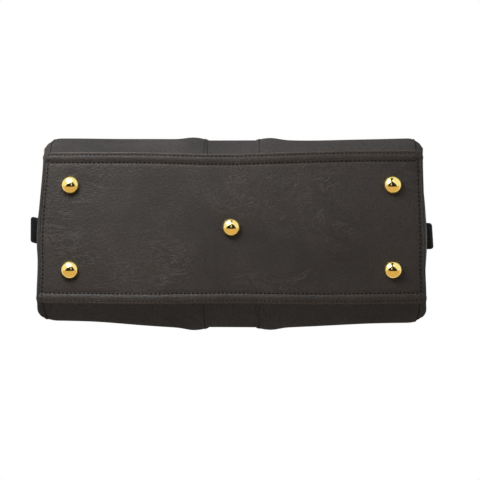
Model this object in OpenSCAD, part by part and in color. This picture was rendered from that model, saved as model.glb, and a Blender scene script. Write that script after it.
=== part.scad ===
// Doctor bag: a stiff leather tub on five metal feet, whose mouth is held by two hinged frame halves.
// X runs along the bag, -Y is the front, +Z is up. The origin is on the ground under the middle foot.

/* [Base] */
// Length of the base panel
base_l = 330; // [260:1:420]
// Depth of the base panel, front to back
base_w = 131; // [110:1:150]
// Corner radius of the base panel
base_corner_r = 5; // [2:0.5:12]
// Thickness of the base leather
base_t = 2.2; // [1.5:0.1:3.5]
// Thickness of the stiffening board
board_t = 2.8; // [1.5:0.1:5]
// Board edge to base edge
board_inset = 9; // [7:0.5:15]

/* [Feet] */
// Dome radius of a foot
foot_r = 7.6; // [5:0.1:12]
// Depth of the worn flat at the top of a dome
foot_flat = 0.2; // [0.1:0.05:0.5]
// Distance of a corner foot from the base's end
foot_inset_x = 26.5; // [18:0.5:60]
// Distance of a corner foot from the base's long edge
foot_inset_y = 29; // [18:0.5:40]
// Radius of a foot's screw
screw_r = 1.6; // [1:0.1:2.5]
// Radius of a foot's washer
washer_r = 5; // [4:0.1:8]
// Thickness of a foot's washer
washer_t = 0.8; // [0.5:0.1:2]
// Radius of a screw's riveted end
screw_end_r = 3; // [2.8:0.1:4]
// Height of a screw's riveted end
screw_end_h = 0.8; // [0.5:0.1:2]
// Depth of a screw in its dome
screw_depth = 4; // [2:0.5:4.5]

/* [Walls] */
// Depth of the bag at its belly
belly_w = 166; // [150:1:200]
// Height of the belly above the ground
belly_h = 70; // [50:1:90]
// Radius of the shoulder above the belly
shoulder_r = 99; // [60:1:110]
// Set-back of the walls from the base's long edges
wall_inset = 3; // [1:0.1:5]
// Reach of the walls past each end of the base
wall_over = 2; // [0.5:0.1:4]
// Thickness of the side panels' leather
panel_t = 2.4; // [1.5:0.1:3.5]
// Thickness of the middle bands' leather
band_t = 2; // [1.2:0.1:3]
// Width of a middle band that shows
band_w = 42; // [38:1:60]
// Lap of a side panel over the band
band_lap = 5; // [3:0.5:8]
// Height at which the walls start to fold
fold_lo = 100; // [92:1:104]
// Height at which the walls stop folding
fold_hi = 155; // [152:1:165]

/* [Mouth frame] */
// Height of the frame bars' underside
frame_h = 222; // [210:1:240]
// Height of a frame bar
bar_h = 16; // [16:0.5:20]
// Thickness of a frame bar, front to back
bar_w = 11.6; // [10:0.1:16]
// Gap between the closed bars
bar_gap = 0.5; // [0.3:0.1:1]
// Thickness of the leather along a bar's top
binding_t = 2.2; // [1.5:0.1:3]
// Height of the hinge pins
hinge_h = 145; // [142:1:150]
// Radius of a hinge pin
pin_r = 2.5; // [2:0.1:3]
// Radius of a frame leg's eye
leg_eye_r = 8; // [6.5:0.1:9]
// Thickness of a frame leg
leg_t = 3; // [2:0.1:4]
// Spacing between the legs, the gusset and the pin's head
leg_gap = 1; // [0.8:0.1:2]
// Radius of a hinge pin's heads
pin_head_r = 5; // [4:0.1:6.5]
// Thickness of a hinge pin's heads
pin_head_t = 2; // [1:0.1:3]

/* [Gussets] */
// Thickness of the gusset leather
gusset_t = 2; // [1.2:0.1:3]
// Depth of a gusset behind the walls' ends
gusset_inset = 5; // [4:0.1:8]
// Outward swell of a gusset
gusset_bulge = 5; // [2:0.5:7]
// Width of a gusset's peak at the hinge
peak_w = 26; // [24:0.5:32]
// Height of a gusset's shoulders above the fold line
peak_rise = 8; // [4:0.5:10]
// Thickness of the hinge stay inside a gusset
stay_t = 1.5; // [1:0.1:3]
// Width of the hinge stay
stay_w = 20; // [18:0.5:24]

/* [End loops] */
// Width of an end loop
loop_w = 24; // [20:0.5:26]
// Distance that an end loop stands out from the gusset
loop_reach = 25; // [15:0.5:30]
// Height of an end loop
loop_h = 13; // [11:0.5:15]
// Thickness of an end loop's leather
loop_t = 2.5; // [1.5:0.1:3]
// Height of the sewn foot below an end loop
loop_foot = 12; // [10:0.5:14]
// Distance between an end loop's rivets
rivet_span = 13; // [11:0.5:14]
// Radius of the rivets
rivet_r = 1.5; // [1:0.1:2]
// Radius of the rivets' heads
rivet_head_r = 2.8; // [2.5:0.1:3.2]
// Height of the rivets' heads
rivet_head_h = 1; // [0.6:0.1:1.5]

/* [Handles] */
// Distance between a handle's ends
handle_span = 124; // [90:1:180]
// Length of a handle's straight ends
handle_leg = 22; // [15:1:60]
// Radius of a rolled handle
grip_r = 6; // [5:0.1:8]
// Radius of a handle's cord core
core_r = 3; // [2:0.1:4]
// Gap between the two leaning handles
handle_gap = 0.8; // [0.5:0.1:2]
// Wire radius of a handle ring
ring_r = 2; // [1.5:0.1:2.5]
// Distance between a ring's two bars
ring_h = 15; // [13:0.5:22]
// Width of a chape
chape_w = 16; // [12:0.5:20]
// Thickness of a chape
chape_t = 2.5; // [1.5:0.1:3]
// Radius of a chape's eye
chape_eye_r = 4.5; // [4:0.1:6]
// Height of a chape's lower end below the frame bar
chape_drop = 34; // [20:1:45]
// Height of a chape's eye below the bar's top
eye_drop = 2; // [0:0.5:3]
// Height of a chape's rivet below the frame bar
chape_rivet_drop = 22; // [14:1:28]

/* [Turn lock] */
// Radius of the lock's rosette
rosette_r = 8; // [6:0.1:8]
// Thickness of the rosette
rosette_t = 2.2; // [1.5:0.1:4]
// Length of the turning knob
knob_l = 20; // [14:0.5:26]
// Width of the turning knob
knob_w = 6; // [5.5:0.1:8]
// Thickness of the turning knob
knob_t = 5; // [3:0.1:8]
// Radius of the lock's shaft
shaft_r = 2.2; // [1.8:0.1:2.5]
// Length of the bit on the shaft's end
bit_l = 9; // [8.5:0.1:10]
// Width of the bit
bit_w = 3.4; // [2.5:0.1:3.6]
// Thickness of the bit
bit_t = 2.5; // [1.5:0.1:4]
// Thickness of the keeper plate
keeper_t = 2.5; // [1.5:0.1:4]
// Width of the keeper plate
keeper_w = 22; // [16:0.5:28]
// Height of the keeper plate
keeper_h = 12; // [11.5:0.1:13]

/* [Lining] */
// Thickness of the lining
lining_t = 1.2; // [0.6:0.1:2]
// Height of the lower lining's top edge
lining_h = 95; // [70:1:98]
// Width of the inner pocket
pocket_w = 150; // [80:1:220]
// Height of the inner pocket's lower edge
pocket_lo = 35; // [25:1:45]
// Height of the inner pocket's upper edge
pocket_hi = 82; // [60:1:88]
// Thickness of the inner pocket
pocket_t = 1.6; // [1:0.1:3]

/* [Hidden] */
$fn = 48;

// Clearances: a running fit, parts that pass each other, and holes in leather and board.
running = 0.05;
loose = 0.4;
leather_hole = 0.15;
// Bite of the seam that joins the band to the panels in the wall fold.
fold_bite = 0.2;

// Steps along a curved stretch of wall.
wall_steps = 12;
fold_steps = 4;

// Heights of the layers of the base.
base_z = foot_r - foot_flat;
wall_z = base_z + base_t;
board_top = wall_z + board_t;
screw_top = board_top + washer_t + screw_end_h;

// Half depths of the walls' outer face: at the foot, the belly and along the frame bars.
foot_half = base_w / 2 - wall_inset;
belly_half = belly_w / 2;
bar_out = bar_gap / 2 + bar_w;
top_half = bar_out + panel_t;
bar_top = frame_h + bar_h;

// The shoulder is an arc that leaves the belly upright and meets a straight slope up to the bar.
arc_y = belly_half - shoulder_r;
arc_reach = norm([top_half - arc_y, frame_h - belly_h]);
shoulder_a = atan2(frame_h - belly_h, top_half - arc_y) - acos(shoulder_r / arc_reach);
slope_y = arc_y + shoulder_r * cos(shoulder_a);
slope_z = belly_h + shoulder_r * sin(shoulder_a);

// Half depth of the walls' outer face at height z.
function wall_y(z) =
    z < belly_h ? foot_half + (belly_half - foot_half) * sin(90 * (z - wall_z) / (belly_h - wall_z)) :
    z < slope_z ? arc_y + sqrt(shoulder_r * shoulder_r - (z - belly_h) * (z - belly_h)) :
    z < frame_h ? slope_y - (z - slope_z) * tan(shoulder_a) : top_half;
function heights(lo, hi, n) = [for (i = [0:n]) lo + (hi - lo) * i / n];
function outline(zs, depth) = [for (z = zs) [wall_y(z) - depth, z]];
function reversed(list) = [for (i = [len(list) - 1:-1:0]) list[i]];
lower_zs = heights(wall_z, fold_lo, wall_steps);
fold_zs = heights(fold_lo, fold_hi, fold_steps);
upper_zs = [fold_hi, frame_h];

// Places along the bag.
base_end = base_l / 2;
wall_end = base_end + wall_over;
gusset_out = wall_end - gusset_inset;
gusset_in = gusset_out - gusset_t;
front_leg_in = gusset_out + leg_gap;
back_leg_in = front_leg_in + leg_t + leg_gap;
frame_end = back_leg_in + leg_t;
band_half = band_w / 2;
band_y = top_half - panel_t + band_t;

// End loops hang just below the frame legs' eyes.
loop_top = hinge_h - leg_eye_r - loose;
loop_z = loop_top - loop_h / 2;
loop_foot_z = loop_top - loop_h - loop_foot;
loop_rivet_z = loop_foot_z + loop_foot / 2;

// Handles: pivot in the chape's eye, leaning inwards until the two grips nearly meet.
eye_y = top_half + chape_eye_r;
eye_z = bar_top - eye_drop;
arch_h = ring_h + handle_leg + handle_span / 2;
handle_lean = asin((eye_y - grip_r - handle_gap / 2) / arch_h);
ring_half = chape_w / 2 + loose / 2 + ring_r;
chape_rivet_z = frame_h - chape_rivet_drop;

// Lock: the shaft runs along Y through the middle of the bars.
lock_z = frame_h + bar_h / 2;
keeper_back = bar_gap / 2 + keeper_t;
slot_h = 2 * shaft_r + 2 * loose;
slot_l = bit_l + 4 * loose;

leather = [0.28, 0.25, 0.24];
brass = [0.83, 0.64, 0.28];
steel = [0.62, 0.62, 0.64];
black = [0.08, 0.08, 0.08];
cloth = [0.45, 0.36, 0.28];
fibre = [0.5, 0.42, 0.32];

// The shapes below are drawn for the back and the right, and turned over for the front and the left.
module at_front() mirror([0, 1, 0]) children();
module at_left() mirror([1, 0, 0]) children();
module both_ends() { children(); at_left() children(); }
module along_x(x0, x1) translate([x0, 0, 0]) rotate([90, 0, 90]) linear_extrude(x1 - x0) children();
module along_y(y0, y1) translate([0, y1, 0]) rotate([90, 0, 0]) linear_extrude(y1 - y0) children();
module rod_x(r, x0, x1, y, z) translate([x0, y, z]) rotate([0, 90, 0]) cylinder(r = r, h = x1 - x0);
module rod_y(r, y0, y1, x, z) translate([x, y0, z]) rotate([-90, 0, 0]) cylinder(r = r, h = y1 - y0);

// A strip of wall: follows the wall's outline from depth a to depth b below its outer face.
module wall_strip(zs, a, b, x0, x1)
    along_x(x0, x1) polygon(concat(outline(zs, a), reversed(outline(zs, b))));

module foot_places() {
    children();
    foot_x = base_end - foot_inset_x;
    foot_y = base_w / 2 - foot_inset_y;
    for (x = [-foot_x, foot_x], y = [-foot_y, foot_y]) translate([x, y, 0]) children();
}
module base_plate(inset, r) {
    l = base_l / 2 - inset - r;
    w = base_w / 2 - inset - r;
    union() {
        square([2 * l + 2 * r, 2 * w], center = true);
        square([2 * l, 2 * w + 2 * r], center = true);
        for (x = [-l, l], y = [-w, w]) translate([x, y]) circle(r = r);
    }
}
module screw_hole(z0, z1) translate([0, 0, z0]) cylinder(r = screw_r + leather_hole, h = z1 - z0);

module base_panel() color(leather) difference() {
    translate([0, 0, base_z]) linear_extrude(base_t) base_plate(0, base_corner_r);
    foot_places() screw_hole(base_z - 1, wall_z + 1);
}
module base_board() color(fibre) difference() {
    translate([0, 0, wall_z]) linear_extrude(board_t) base_plate(board_inset, base_corner_r);
    foot_places() screw_hole(wall_z - 1, board_top + 1);
}
module feet() color(brass) foot_places() difference() {
    intersection() {
        translate([0, 0, base_z]) sphere(r = foot_r);
        cylinder(r = foot_r + 1, h = base_z);
    }
    translate([0, 0, base_z - screw_depth - running]) cylinder(r = screw_r + running, h = foot_r);
}
module foot_screws() color(steel) foot_places() {
    translate([0, 0, base_z - screw_depth]) cylinder(r = screw_r, h = screw_top - base_z + screw_depth);
    translate([0, 0, board_top + washer_t]) cylinder(r = screw_end_r, h = screw_end_h);
}
module foot_washers() color(steel) foot_places() translate([0, 0, board_top]) difference() {
    cylinder(r = washer_r, h = washer_t);
    translate([0, 0, -1]) cylinder(r = screw_r + running, h = washer_t + 2);
}

// Lower walls, which stand on the base panel.
module side_panel() wall_strip(lower_zs, 0, panel_t, band_half, wall_end);
module middle_band(zs)
    wall_strip(zs, panel_t, panel_t + band_t, -band_half - band_lap, band_half + band_lap);
module back_panel_right() color(leather) side_panel();
module back_panel_left() color(leather) at_left() side_panel();
module front_panel_right() color(leather) at_front() side_panel();
module front_panel_left() color(leather) at_front() at_left() side_panel();
module back_band() color(leather) middle_band(lower_zs);
module front_band() color(leather) at_front() middle_band(lower_zs);

// The stretch of wall that bends when the mouth opens.
module wall_fold() {
    both_ends() wall_strip(fold_zs, 0, panel_t, band_half, wall_end);
    middle_band(fold_zs);
    both_ends() wall_strip(fold_zs, panel_t - fold_bite, panel_t + fold_bite,
        band_half + loose, band_half + band_lap);
}
module back_wall_fold() color(leather) wall_fold();
module front_wall_fold() color(leather) at_front() wall_fold();

// Outline of the fixed gusset: the bag's section up to the fold, and a peak that holds the hinge.
module peak_outline(grow, foot_y) {
    shoulder_y = peak_w / 2 + peak_rise + grow;
    rise_z = fold_lo + peak_rise + grow;
    polygon([[-foot_y, fold_lo + grow], [-shoulder_y, rise_z], [-peak_w / 2 - grow, hinge_h],
        [peak_w / 2 + grow, hinge_h], [shoulder_y, rise_z], [foot_y, fold_lo + grow],
        [foot_y, fold_lo - 1], [-foot_y, fold_lo - 1]]);
    translate([0, hinge_h]) circle(r = peak_w / 2 + grow);
}
module gusset_outline() {
    side = outline(lower_zs, panel_t);
    polygon(concat(side, reversed([for (p = side) [-p[0], p[1]]])));
    peak_outline(0, wall_y(fold_lo) - panel_t);
}
function swell(z) = z < fold_lo ? gusset_bulge * sin(180 * (z - wall_z) / (fold_lo - wall_z)) : 0;
module gusset_section() {
    zs = concat(lower_zs, [hinge_h + peak_w]);
    polygon(concat([for (z = zs) [gusset_in + swell(z), z]],
        reversed([for (z = zs) [gusset_out + swell(z), z]])));
}
module loop_rivet_holes(x0, x1)
    for (y = [-1, 1]) rod_x(rivet_r + running, x0, x1, y * rivet_span / 2, loop_rivet_z);
module gusset() {
    flange = outline(lower_zs, panel_t);
    difference() {
        union() {
            intersection() {
                along_x(gusset_in, gusset_out + gusset_bulge) gusset_outline();
                along_y(-belly_half, belly_half) gusset_section();
            }
            wall_strip(lower_zs, panel_t, panel_t + gusset_t, gusset_in, wall_end);
            at_front() wall_strip(lower_zs, panel_t, panel_t + gusset_t, gusset_in, wall_end);
            translate([gusset_in, -flange[0][0], wall_z])
                cube([base_end - gusset_in, 2 * flange[0][0], gusset_t]);
        }
        rod_x(pin_r + running, gusset_in - 1, gusset_out + 1, 0, hinge_h);
        loop_rivet_holes(gusset_in - 1, gusset_out + 1);
    }
}
module gusset_right() color(leather) gusset();
module gusset_left() color(leather) at_left() gusset();

// Upper quarter of a gusset, which folds between the peak and a frame half.
module gusset_wing() along_x(gusset_in, gusset_out) difference() {
    side = outline([fold_lo, slope_z, frame_h], panel_t);
    polygon(concat([[bar_gap / 2, fold_lo]], side, [[bar_gap / 2, frame_h]]));
    peak_outline(loose, belly_half);
}
module gusset_wing_back_right() color(leather) gusset_wing();
module gusset_wing_back_left() color(leather) at_left() gusset_wing();
module gusset_wing_front_right() color(leather) at_front() gusset_wing();
module gusset_wing_front_left() color(leather) at_front() at_left() gusset_wing();

// Hinges: a steel stay inside each gusset carries the pin on which both frame halves turn.
module stay() difference() {
    union() {
        translate([gusset_in - stay_t, -stay_w / 2, loop_foot_z])
            cube([stay_t, stay_w, hinge_h - loop_foot_z]);
        rod_x(stay_w / 2, gusset_in - stay_t, gusset_in, 0, hinge_h);
    }
    rod_x(pin_r + running, gusset_in - stay_t - 1, gusset_in + 1, 0, hinge_h);
    loop_rivet_holes(gusset_in - stay_t - 1, gusset_in + 1);
}
module hinge_stays() color(steel) both_ends() stay();
module hinge_pin() {
    inner = gusset_in - stay_t;
    rod_x(pin_head_r, inner - pin_head_t, inner, 0, hinge_h);
    rod_x(pin_r, inner - 1, frame_end + leg_gap, 0, hinge_h);
    rod_x(pin_head_r, frame_end + running, frame_end + running + pin_head_t, 0, hinge_h);
}
module hinge_pin_right() color(brass) hinge_pin();
module hinge_pin_left() color(brass) at_left() hinge_pin();
module hinge_washer(x) difference() {
    rod_x(pin_head_r, x + running, x + leg_gap - running, 0, hinge_h);
    rod_x(pin_r + running, x - 1, x + leg_gap + 1, 0, hinge_h);
}
module hinge_washers() color(brass) both_ends() {
    hinge_washer(gusset_out);
    hinge_washer(front_leg_in + leg_t);
}

// End loops: a stiff strap folded into a loop, riveted through the gusset and the stay.
module loop_shape(inset) {
    nose = gusset_out + loop_reach - loop_h / 2;
    start = gusset_out + inset;
    translate([start, loop_z - loop_h / 2 + inset]) square([nose - start, loop_h - 2 * inset]);
    translate([nose, loop_z]) circle(r = loop_h / 2 - inset);
}
module end_loop() difference() {
    union() {
        along_y(-loop_w / 2, loop_w / 2) difference() {
            loop_shape(0);
            loop_shape(loop_t);
        }
        translate([gusset_out, -loop_w / 2, loop_foot_z]) cube([loop_t, loop_w, loop_foot + 1]);
    }
    loop_rivet_holes(gusset_out - 1, gusset_out + loop_t + 1);
}
module end_loop_right() color(black) end_loop();
module end_loop_left() color(black) at_left() end_loop();
module end_loop_rivets() color(brass) both_ends() for (y = [-1, 1]) {
    inner = gusset_in - stay_t;
    outer = gusset_out + loop_t;
    place = y * rivet_span / 2;
    rod_x(rivet_head_r, inner - rivet_head_h, inner, place, loop_rivet_z);
    rod_x(rivet_r, inner - rivet_head_h, outer + rivet_head_h, place, loop_rivet_z);
    rod_x(rivet_head_r, outer, outer + rivet_head_h, place, loop_rivet_z);
}

// Lining of the fixed tub: rests on the screws' riveted ends and stands clear of the walls.
lining_depth = panel_t + band_t + loose;
module lining_section(inset) {
    side = outline(heights(screw_top, lining_h, wall_steps), lining_depth + inset);
    intersection() {
        polygon(concat(side, reversed([for (p = side) [-p[0], p[1]]])));
        translate([-belly_half, screw_top + inset]) square([belly_w, lining_h]);
    }
}
module lining() color(cloth) {
    end = gusset_in - loose;
    difference() {
        along_x(-end, end) lining_section(0);
        along_x(lining_t - end, end - lining_t) {
            lining_section(lining_t);
            translate([-belly_half / 2, lining_h - 1]) square([belly_half, 2]);
        }
    }
}
module inner_pocket() color(cloth) along_x(-pocket_w / 2, pocket_w / 2) intersection() {
    difference() {
        lining_section(lining_t);
        lining_section(lining_t + pocket_t);
    }
    translate([0, pocket_lo]) square([belly_half, pocket_hi - pocket_lo]);
}

// Frame half: a bar along the mouth with a leg at each end, down to its eye on the hinge pin.
module frame_half(leg_in) {
    translate([-frame_end, bar_gap / 2, frame_h]) cube([2 * frame_end, bar_w, bar_h]);
    both_ends() difference() {
        union() {
            translate([leg_in, bar_gap / 2, hinge_h]) cube([leg_t, bar_w, frame_h - hinge_h + 1]);
            rod_x(leg_eye_r, leg_in, leg_in + leg_t, 0, hinge_h);
        }
        rod_x(pin_r + running, leg_in - 1, leg_in + leg_t + 1, 0, hinge_h);
    }
}
module frame_front() color(brass) at_front() difference() {
    frame_half(front_leg_in);
    rod_y(shaft_r + running, 0, bar_out + 1, 0, lock_z);
}
module frame_back() color(brass) difference() {
    frame_half(back_leg_in);
    translate([-keeper_w / 2, 0, lock_z - keeper_h / 2]) cube([keeper_w, bar_out + 1, keeper_h]);
}

// Upper walls, which ride on the frame halves.
module chape_rivet_holes() for (x = [-1, 1])
    rod_y(rivet_r + running, top_half, belly_half, x * handle_span / 2, chape_rivet_z);
module upper_panel() difference() {
    wall_strip(concat(upper_zs, [bar_top]), 0, panel_t, band_half, wall_end);
    chape_rivet_holes();
}
module upper_band() {
    middle_band(upper_zs);
    translate([loose - band_half, bar_out, frame_h - band_t])
        cube([band_w - 2 * loose, band_t, bar_h + band_t]);
}
module back_upper_panel_right() color(leather) upper_panel();
module back_upper_panel_left() color(leather) at_left() upper_panel();
module front_upper_panel_right() color(leather) at_front() upper_panel();
module front_upper_panel_left() color(leather) at_front() at_left() upper_panel();
module back_upper_band() color(leather) upper_band();
module front_upper_band() color(leather) difference() {
    at_front() upper_band();
    rod_y(shaft_r + leather_hole, -belly_half, 0, 0, lock_z);
}
module binding() translate([-frame_end, bar_gap / 2, bar_top])
    cube([2 * frame_end, bar_w + panel_t, binding_t]);
module back_binding() color(leather) binding();
module front_binding() color(leather) at_front() binding();
module upper_lining() wall_strip(upper_zs, lining_depth, lining_depth + lining_t,
    loose - gusset_in, gusset_in - loose);
module back_upper_lining() color(cloth) upper_lining();
module front_upper_lining() color(cloth) at_front() upper_lining();

// Chapes: straps that run up the wall and round a handle ring's lower bar.
module chapes() for (x = [-1, 1]) translate([x * handle_span / 2, 0, 0]) difference() {
    union() {
        wall_strip([frame_h - chape_drop, frame_h, eye_z], -chape_t, 0, -chape_w / 2, chape_w / 2);
        rod_x(chape_eye_r, -chape_w / 2, chape_w / 2, eye_y, eye_z);
    }
    rod_x(ring_r + running, -chape_w, chape_w, eye_y, eye_z);
    rod_y(rivet_r + running, top_half, belly_half, 0, chape_rivet_z);
}
module back_chapes() color(black) chapes();
module front_chapes() color(black) at_front() chapes();
// A chape's rivet: a shank through the chape and the panel, with a head on the outside.
module chape_rivets() for (x = [-1, 1]) {
    slack = rivet_head_r * tan(shoulder_a);
    outer = wall_y(chape_rivet_z) + chape_t + slack;
    inner = wall_y(chape_rivet_z) - panel_t - band_t / 2;
    place = x * handle_span / 2;
    rod_y(rivet_r, inner, outer + rivet_head_h, place, chape_rivet_z);
    rod_y(rivet_head_r, outer, outer + rivet_head_h, place, chape_rivet_z);
}
module back_chape_rivets() color(brass) chape_rivets();
module front_chape_rivets() color(brass) at_front() chape_rivets();

// Handles are drawn upright on their pivot, then leant inwards.
module on_pivot() translate([0, eye_y, eye_z]) rotate([handle_lean, 0, 0]) children();
module handle_arch(r) {
    for (x = [-1, 1]) translate([x * handle_span / 2, 0, ring_h]) cylinder(r = r, h = handle_leg);
    translate([0, 0, ring_h + handle_leg]) rotate([90, 0, 0])
        rotate_extrude(angle = 180) translate([handle_span / 2, 0]) circle(r = r);
}
module handle_ends(r, l) for (x = [-1, 1]) translate([x * handle_span / 2, 0, 0]) rod_x(r, -l, l, 0, ring_h);
module handle() on_pivot() difference() {
    union() {
        handle_arch(grip_r);
        handle_ends(grip_r, chape_w / 2);
    }
    handle_ends(ring_r + running, chape_w);
    intersection() {
        handle_arch(core_r);
        translate([-belly_w, -belly_w, ring_h + grip_r]) cube(2 * belly_w);
    }
}
module handle_core() on_pivot() intersection() {
    handle_arch(core_r);
    translate([-belly_w, -belly_w, ring_h + grip_r]) cube(2 * belly_w);
}
// A ring is a rectangle of wire with round corners.
module handle_rings() on_pivot() for (x = [-1, 1]) translate([x * handle_span / 2, 0, 0]) {
    for (z = [0, ring_h]) rod_x(ring_r, -ring_half, ring_half, 0, z);
    for (s = [-1, 1]) translate([s * ring_half, 0, 0]) {
        cylinder(r = ring_r, h = ring_h);
        sphere(r = ring_r);
        translate([0, 0, ring_h]) sphere(r = ring_r);
    }
}
module handle_back() color(black) handle();
module handle_front() color(black) at_front() handle();
module handle_core_back() color(fibre) handle_core();
module handle_core_front() color(fibre) at_front() handle_core();
module handle_rings_back() color(brass) handle_rings();
module handle_rings_front() color(brass) at_front() handle_rings();

// Turn lock: the bit passes through the keeper's slot lying flat, and locks when it is turned upright.
module lock_rosette() color(brass) difference() {
    rod_y(rosette_r, -band_y - rosette_t, -band_y, 0, lock_z);
    rod_y(shaft_r + running, -band_y - rosette_t - 1, -band_y + 1, 0, lock_z);
}
module lock_keeper() color(brass) difference() {
    translate([-keeper_w / 2, bar_gap / 2, lock_z - keeper_h / 2]) cube([keeper_w, keeper_t, keeper_h]);
    translate([-slot_l / 2, 0, lock_z - slot_h / 2]) cube([slot_l, keeper_back + 1, slot_h]);
}
module lock_knob() color(brass) {
    knob_in = -band_y - rosette_t - running;
    rod_y(shaft_r, knob_in - 1, keeper_back + loose + 1, 0, lock_z);
    translate([-bit_l / 2, keeper_back + loose, lock_z - bit_w / 2]) cube([bit_l, bit_t, bit_w]);
    translate([knob_w / 2 - knob_l / 2, knob_in - knob_t, lock_z - knob_w / 2])
        cube([knob_l - knob_w, knob_t, knob_w]);
    for (x = [-1, 1]) rod_y(knob_w / 2, knob_in - knob_t, knob_in, x * (knob_l - knob_w) / 2, lock_z);
}

base_panel();
base_board();
feet();
foot_screws();
foot_washers();
front_panel_left();
front_panel_right();
front_band();
back_panel_left();
back_panel_right();
back_band();
gusset_left();
gusset_right();
hinge_stays();
hinge_pin_left();
hinge_pin_right();
hinge_washers();
end_loop_left();
end_loop_right();
end_loop_rivets();
lining();
inner_pocket();
front_wall_fold();
back_wall_fold();
gusset_wing_front_left();
gusset_wing_front_right();
gusset_wing_back_left();
gusset_wing_back_right();
frame_front();
front_upper_panel_left();
front_upper_panel_right();
front_upper_band();
front_binding();
front_upper_lining();
front_chapes();
front_chape_rivets();
lock_rosette();
frame_back();
back_upper_panel_left();
back_upper_panel_right();
back_upper_band();
back_binding();
back_upper_lining();
back_chapes();
back_chape_rivets();
lock_keeper();
handle_front();
handle_core_front();
handle_rings_front();
handle_back();
handle_core_back();
handle_rings_back();
lock_knob();
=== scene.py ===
import math

import bmesh
import bpy
import numpy as np
from bpy.props import FloatProperty, FloatVectorProperty, PointerProperty
from mathutils import Matrix, Vector


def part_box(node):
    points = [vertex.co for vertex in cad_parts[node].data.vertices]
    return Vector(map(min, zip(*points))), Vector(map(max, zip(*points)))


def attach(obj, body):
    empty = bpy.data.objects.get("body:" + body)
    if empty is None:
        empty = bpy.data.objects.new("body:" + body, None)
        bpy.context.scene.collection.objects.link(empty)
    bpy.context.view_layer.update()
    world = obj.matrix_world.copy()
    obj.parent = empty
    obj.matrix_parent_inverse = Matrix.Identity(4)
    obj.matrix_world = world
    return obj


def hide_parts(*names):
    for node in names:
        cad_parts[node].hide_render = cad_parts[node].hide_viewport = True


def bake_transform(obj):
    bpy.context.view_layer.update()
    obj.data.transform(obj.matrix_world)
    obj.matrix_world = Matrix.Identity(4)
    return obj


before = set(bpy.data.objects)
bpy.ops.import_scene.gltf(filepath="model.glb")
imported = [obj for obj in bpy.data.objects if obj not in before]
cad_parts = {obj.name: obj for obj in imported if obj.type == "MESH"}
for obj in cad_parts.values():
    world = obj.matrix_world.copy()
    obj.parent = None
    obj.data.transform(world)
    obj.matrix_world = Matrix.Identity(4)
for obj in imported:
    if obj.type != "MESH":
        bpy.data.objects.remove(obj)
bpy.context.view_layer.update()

bl_info = {
    "name": "Doctor bag",
    "version": (1, 0, 0),
    "blender": (4, 5, 0),
    "location": "View3D > Sidebar > Doctor bag",
    "description": "Dresses the doctor bag's frame in leather, brass and lining",
    "category": "Add Mesh",
}

MM = 0.001
MERGE = 2e-6
RIVET_HEAD_H = 0.0012
INNER_HEAD_H = 0.0010
SIDES = {"front": -1.0, "back": 1.0}
ENDS = {"left": -1.0, "right": 1.0}


# ---------------------------------------------------------------- sizes and colours a user would change

def length(name, description, default):
    return FloatProperty(name=name, description=description, default=default * MM, unit="LENGTH", precision=5)


def colour(name, description, default):
    return FloatVectorProperty(name=name, description=description, default=default, subtype="COLOR",
                               size=3, min=0.0, max=1.0)


def number(name, description, default, **more):
    return FloatProperty(name=name, description=description, default=default, **more)


class BagShape(bpy.types.PropertyGroup):
    """Sizes of the leather body, in the frame's own units."""
    base_l: length("Base length", "Length of the base panel", 330)
    base_w: length("Base depth", "Depth of the base panel", 131)
    base_z: length("Base height", "Height of the base panel's underside", 7.4)
    base_t: length("Base leather", "Thickness of the base panel", 2.2)
    base_strip: length("Edge strip", "Width of the padded strip along the base's long edges", 9.0)
    end_strip: length("End strip", "Width of the bound strip at the base's ends", 2.8)
    wall_inset: length("Wall inset", "Set-back of the walls from the base's long edges", 3)
    wall_over: length("Wall overlap", "Reach of the walls past the base's ends", 2)
    belly_w: length("Belly depth", "Depth of the bag at its belly", 166)
    belly_h: length("Belly height", "Height of the belly", 70)
    shoulder_r: length("Shoulder radius", "Radius of the wall above the belly", 99)
    corner_roll: length("Corner roll", "Radius by which the walls' ends roll in", 9.5)
    skew: length("Corner skew", "How far the front left corner is drawn in", 3.4)
    panel_t: length("Panel leather", "Thickness of the side panels", 2.4)
    band_t: length("Band leather", "Thickness of the middle bands", 2)
    band_w: length("Band width", "Width of a middle band that shows", 42)
    band_lap: length("Band lap", "Lap of a side panel over the band", 5)
    puff: length("Panel puff", "Swell of a side panel beside the band", 1.6)
    gusset_t: length("Gusset leather", "Thickness of the gussets", 2)
    gusset_inset: length("Gusset inset", "Depth of a gusset behind the walls' ends", 5)
    gusset_bulge: length("Gusset bulge", "Outward swell of a gusset", 8.2)
    pleat: length("Gusset pleat", "Depth of the gusset's inward pleat at the closed mouth", 24)
    frame_h: length("Bar height", "Height of the frame bars' underside", 222)
    bar_h: length("Bar", "Height of a frame bar", 16)
    bar_w: length("Bar thickness", "Thickness of a frame bar", 11.6)
    bar_gap: length("Bar gap", "Gap between the closed bars", 0.5)
    binding_t: length("Binding", "Thickness of the leather along the bars", 2.2)
    hinge_h: length("Hinge height", "Height of the hinge pins", 145)
    lining_h: length("Lining height", "Height of the lower lining's top edge", 95)
    lining_t: length("Lining thickness", "Thickness of the lining", 1.2)
    fold_start: length("Fold start", "Height at which a wall starts to follow its frame half", 117)
    fold_end: length("Fold end", "Height at which a wall fully follows its frame half", 200)


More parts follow.
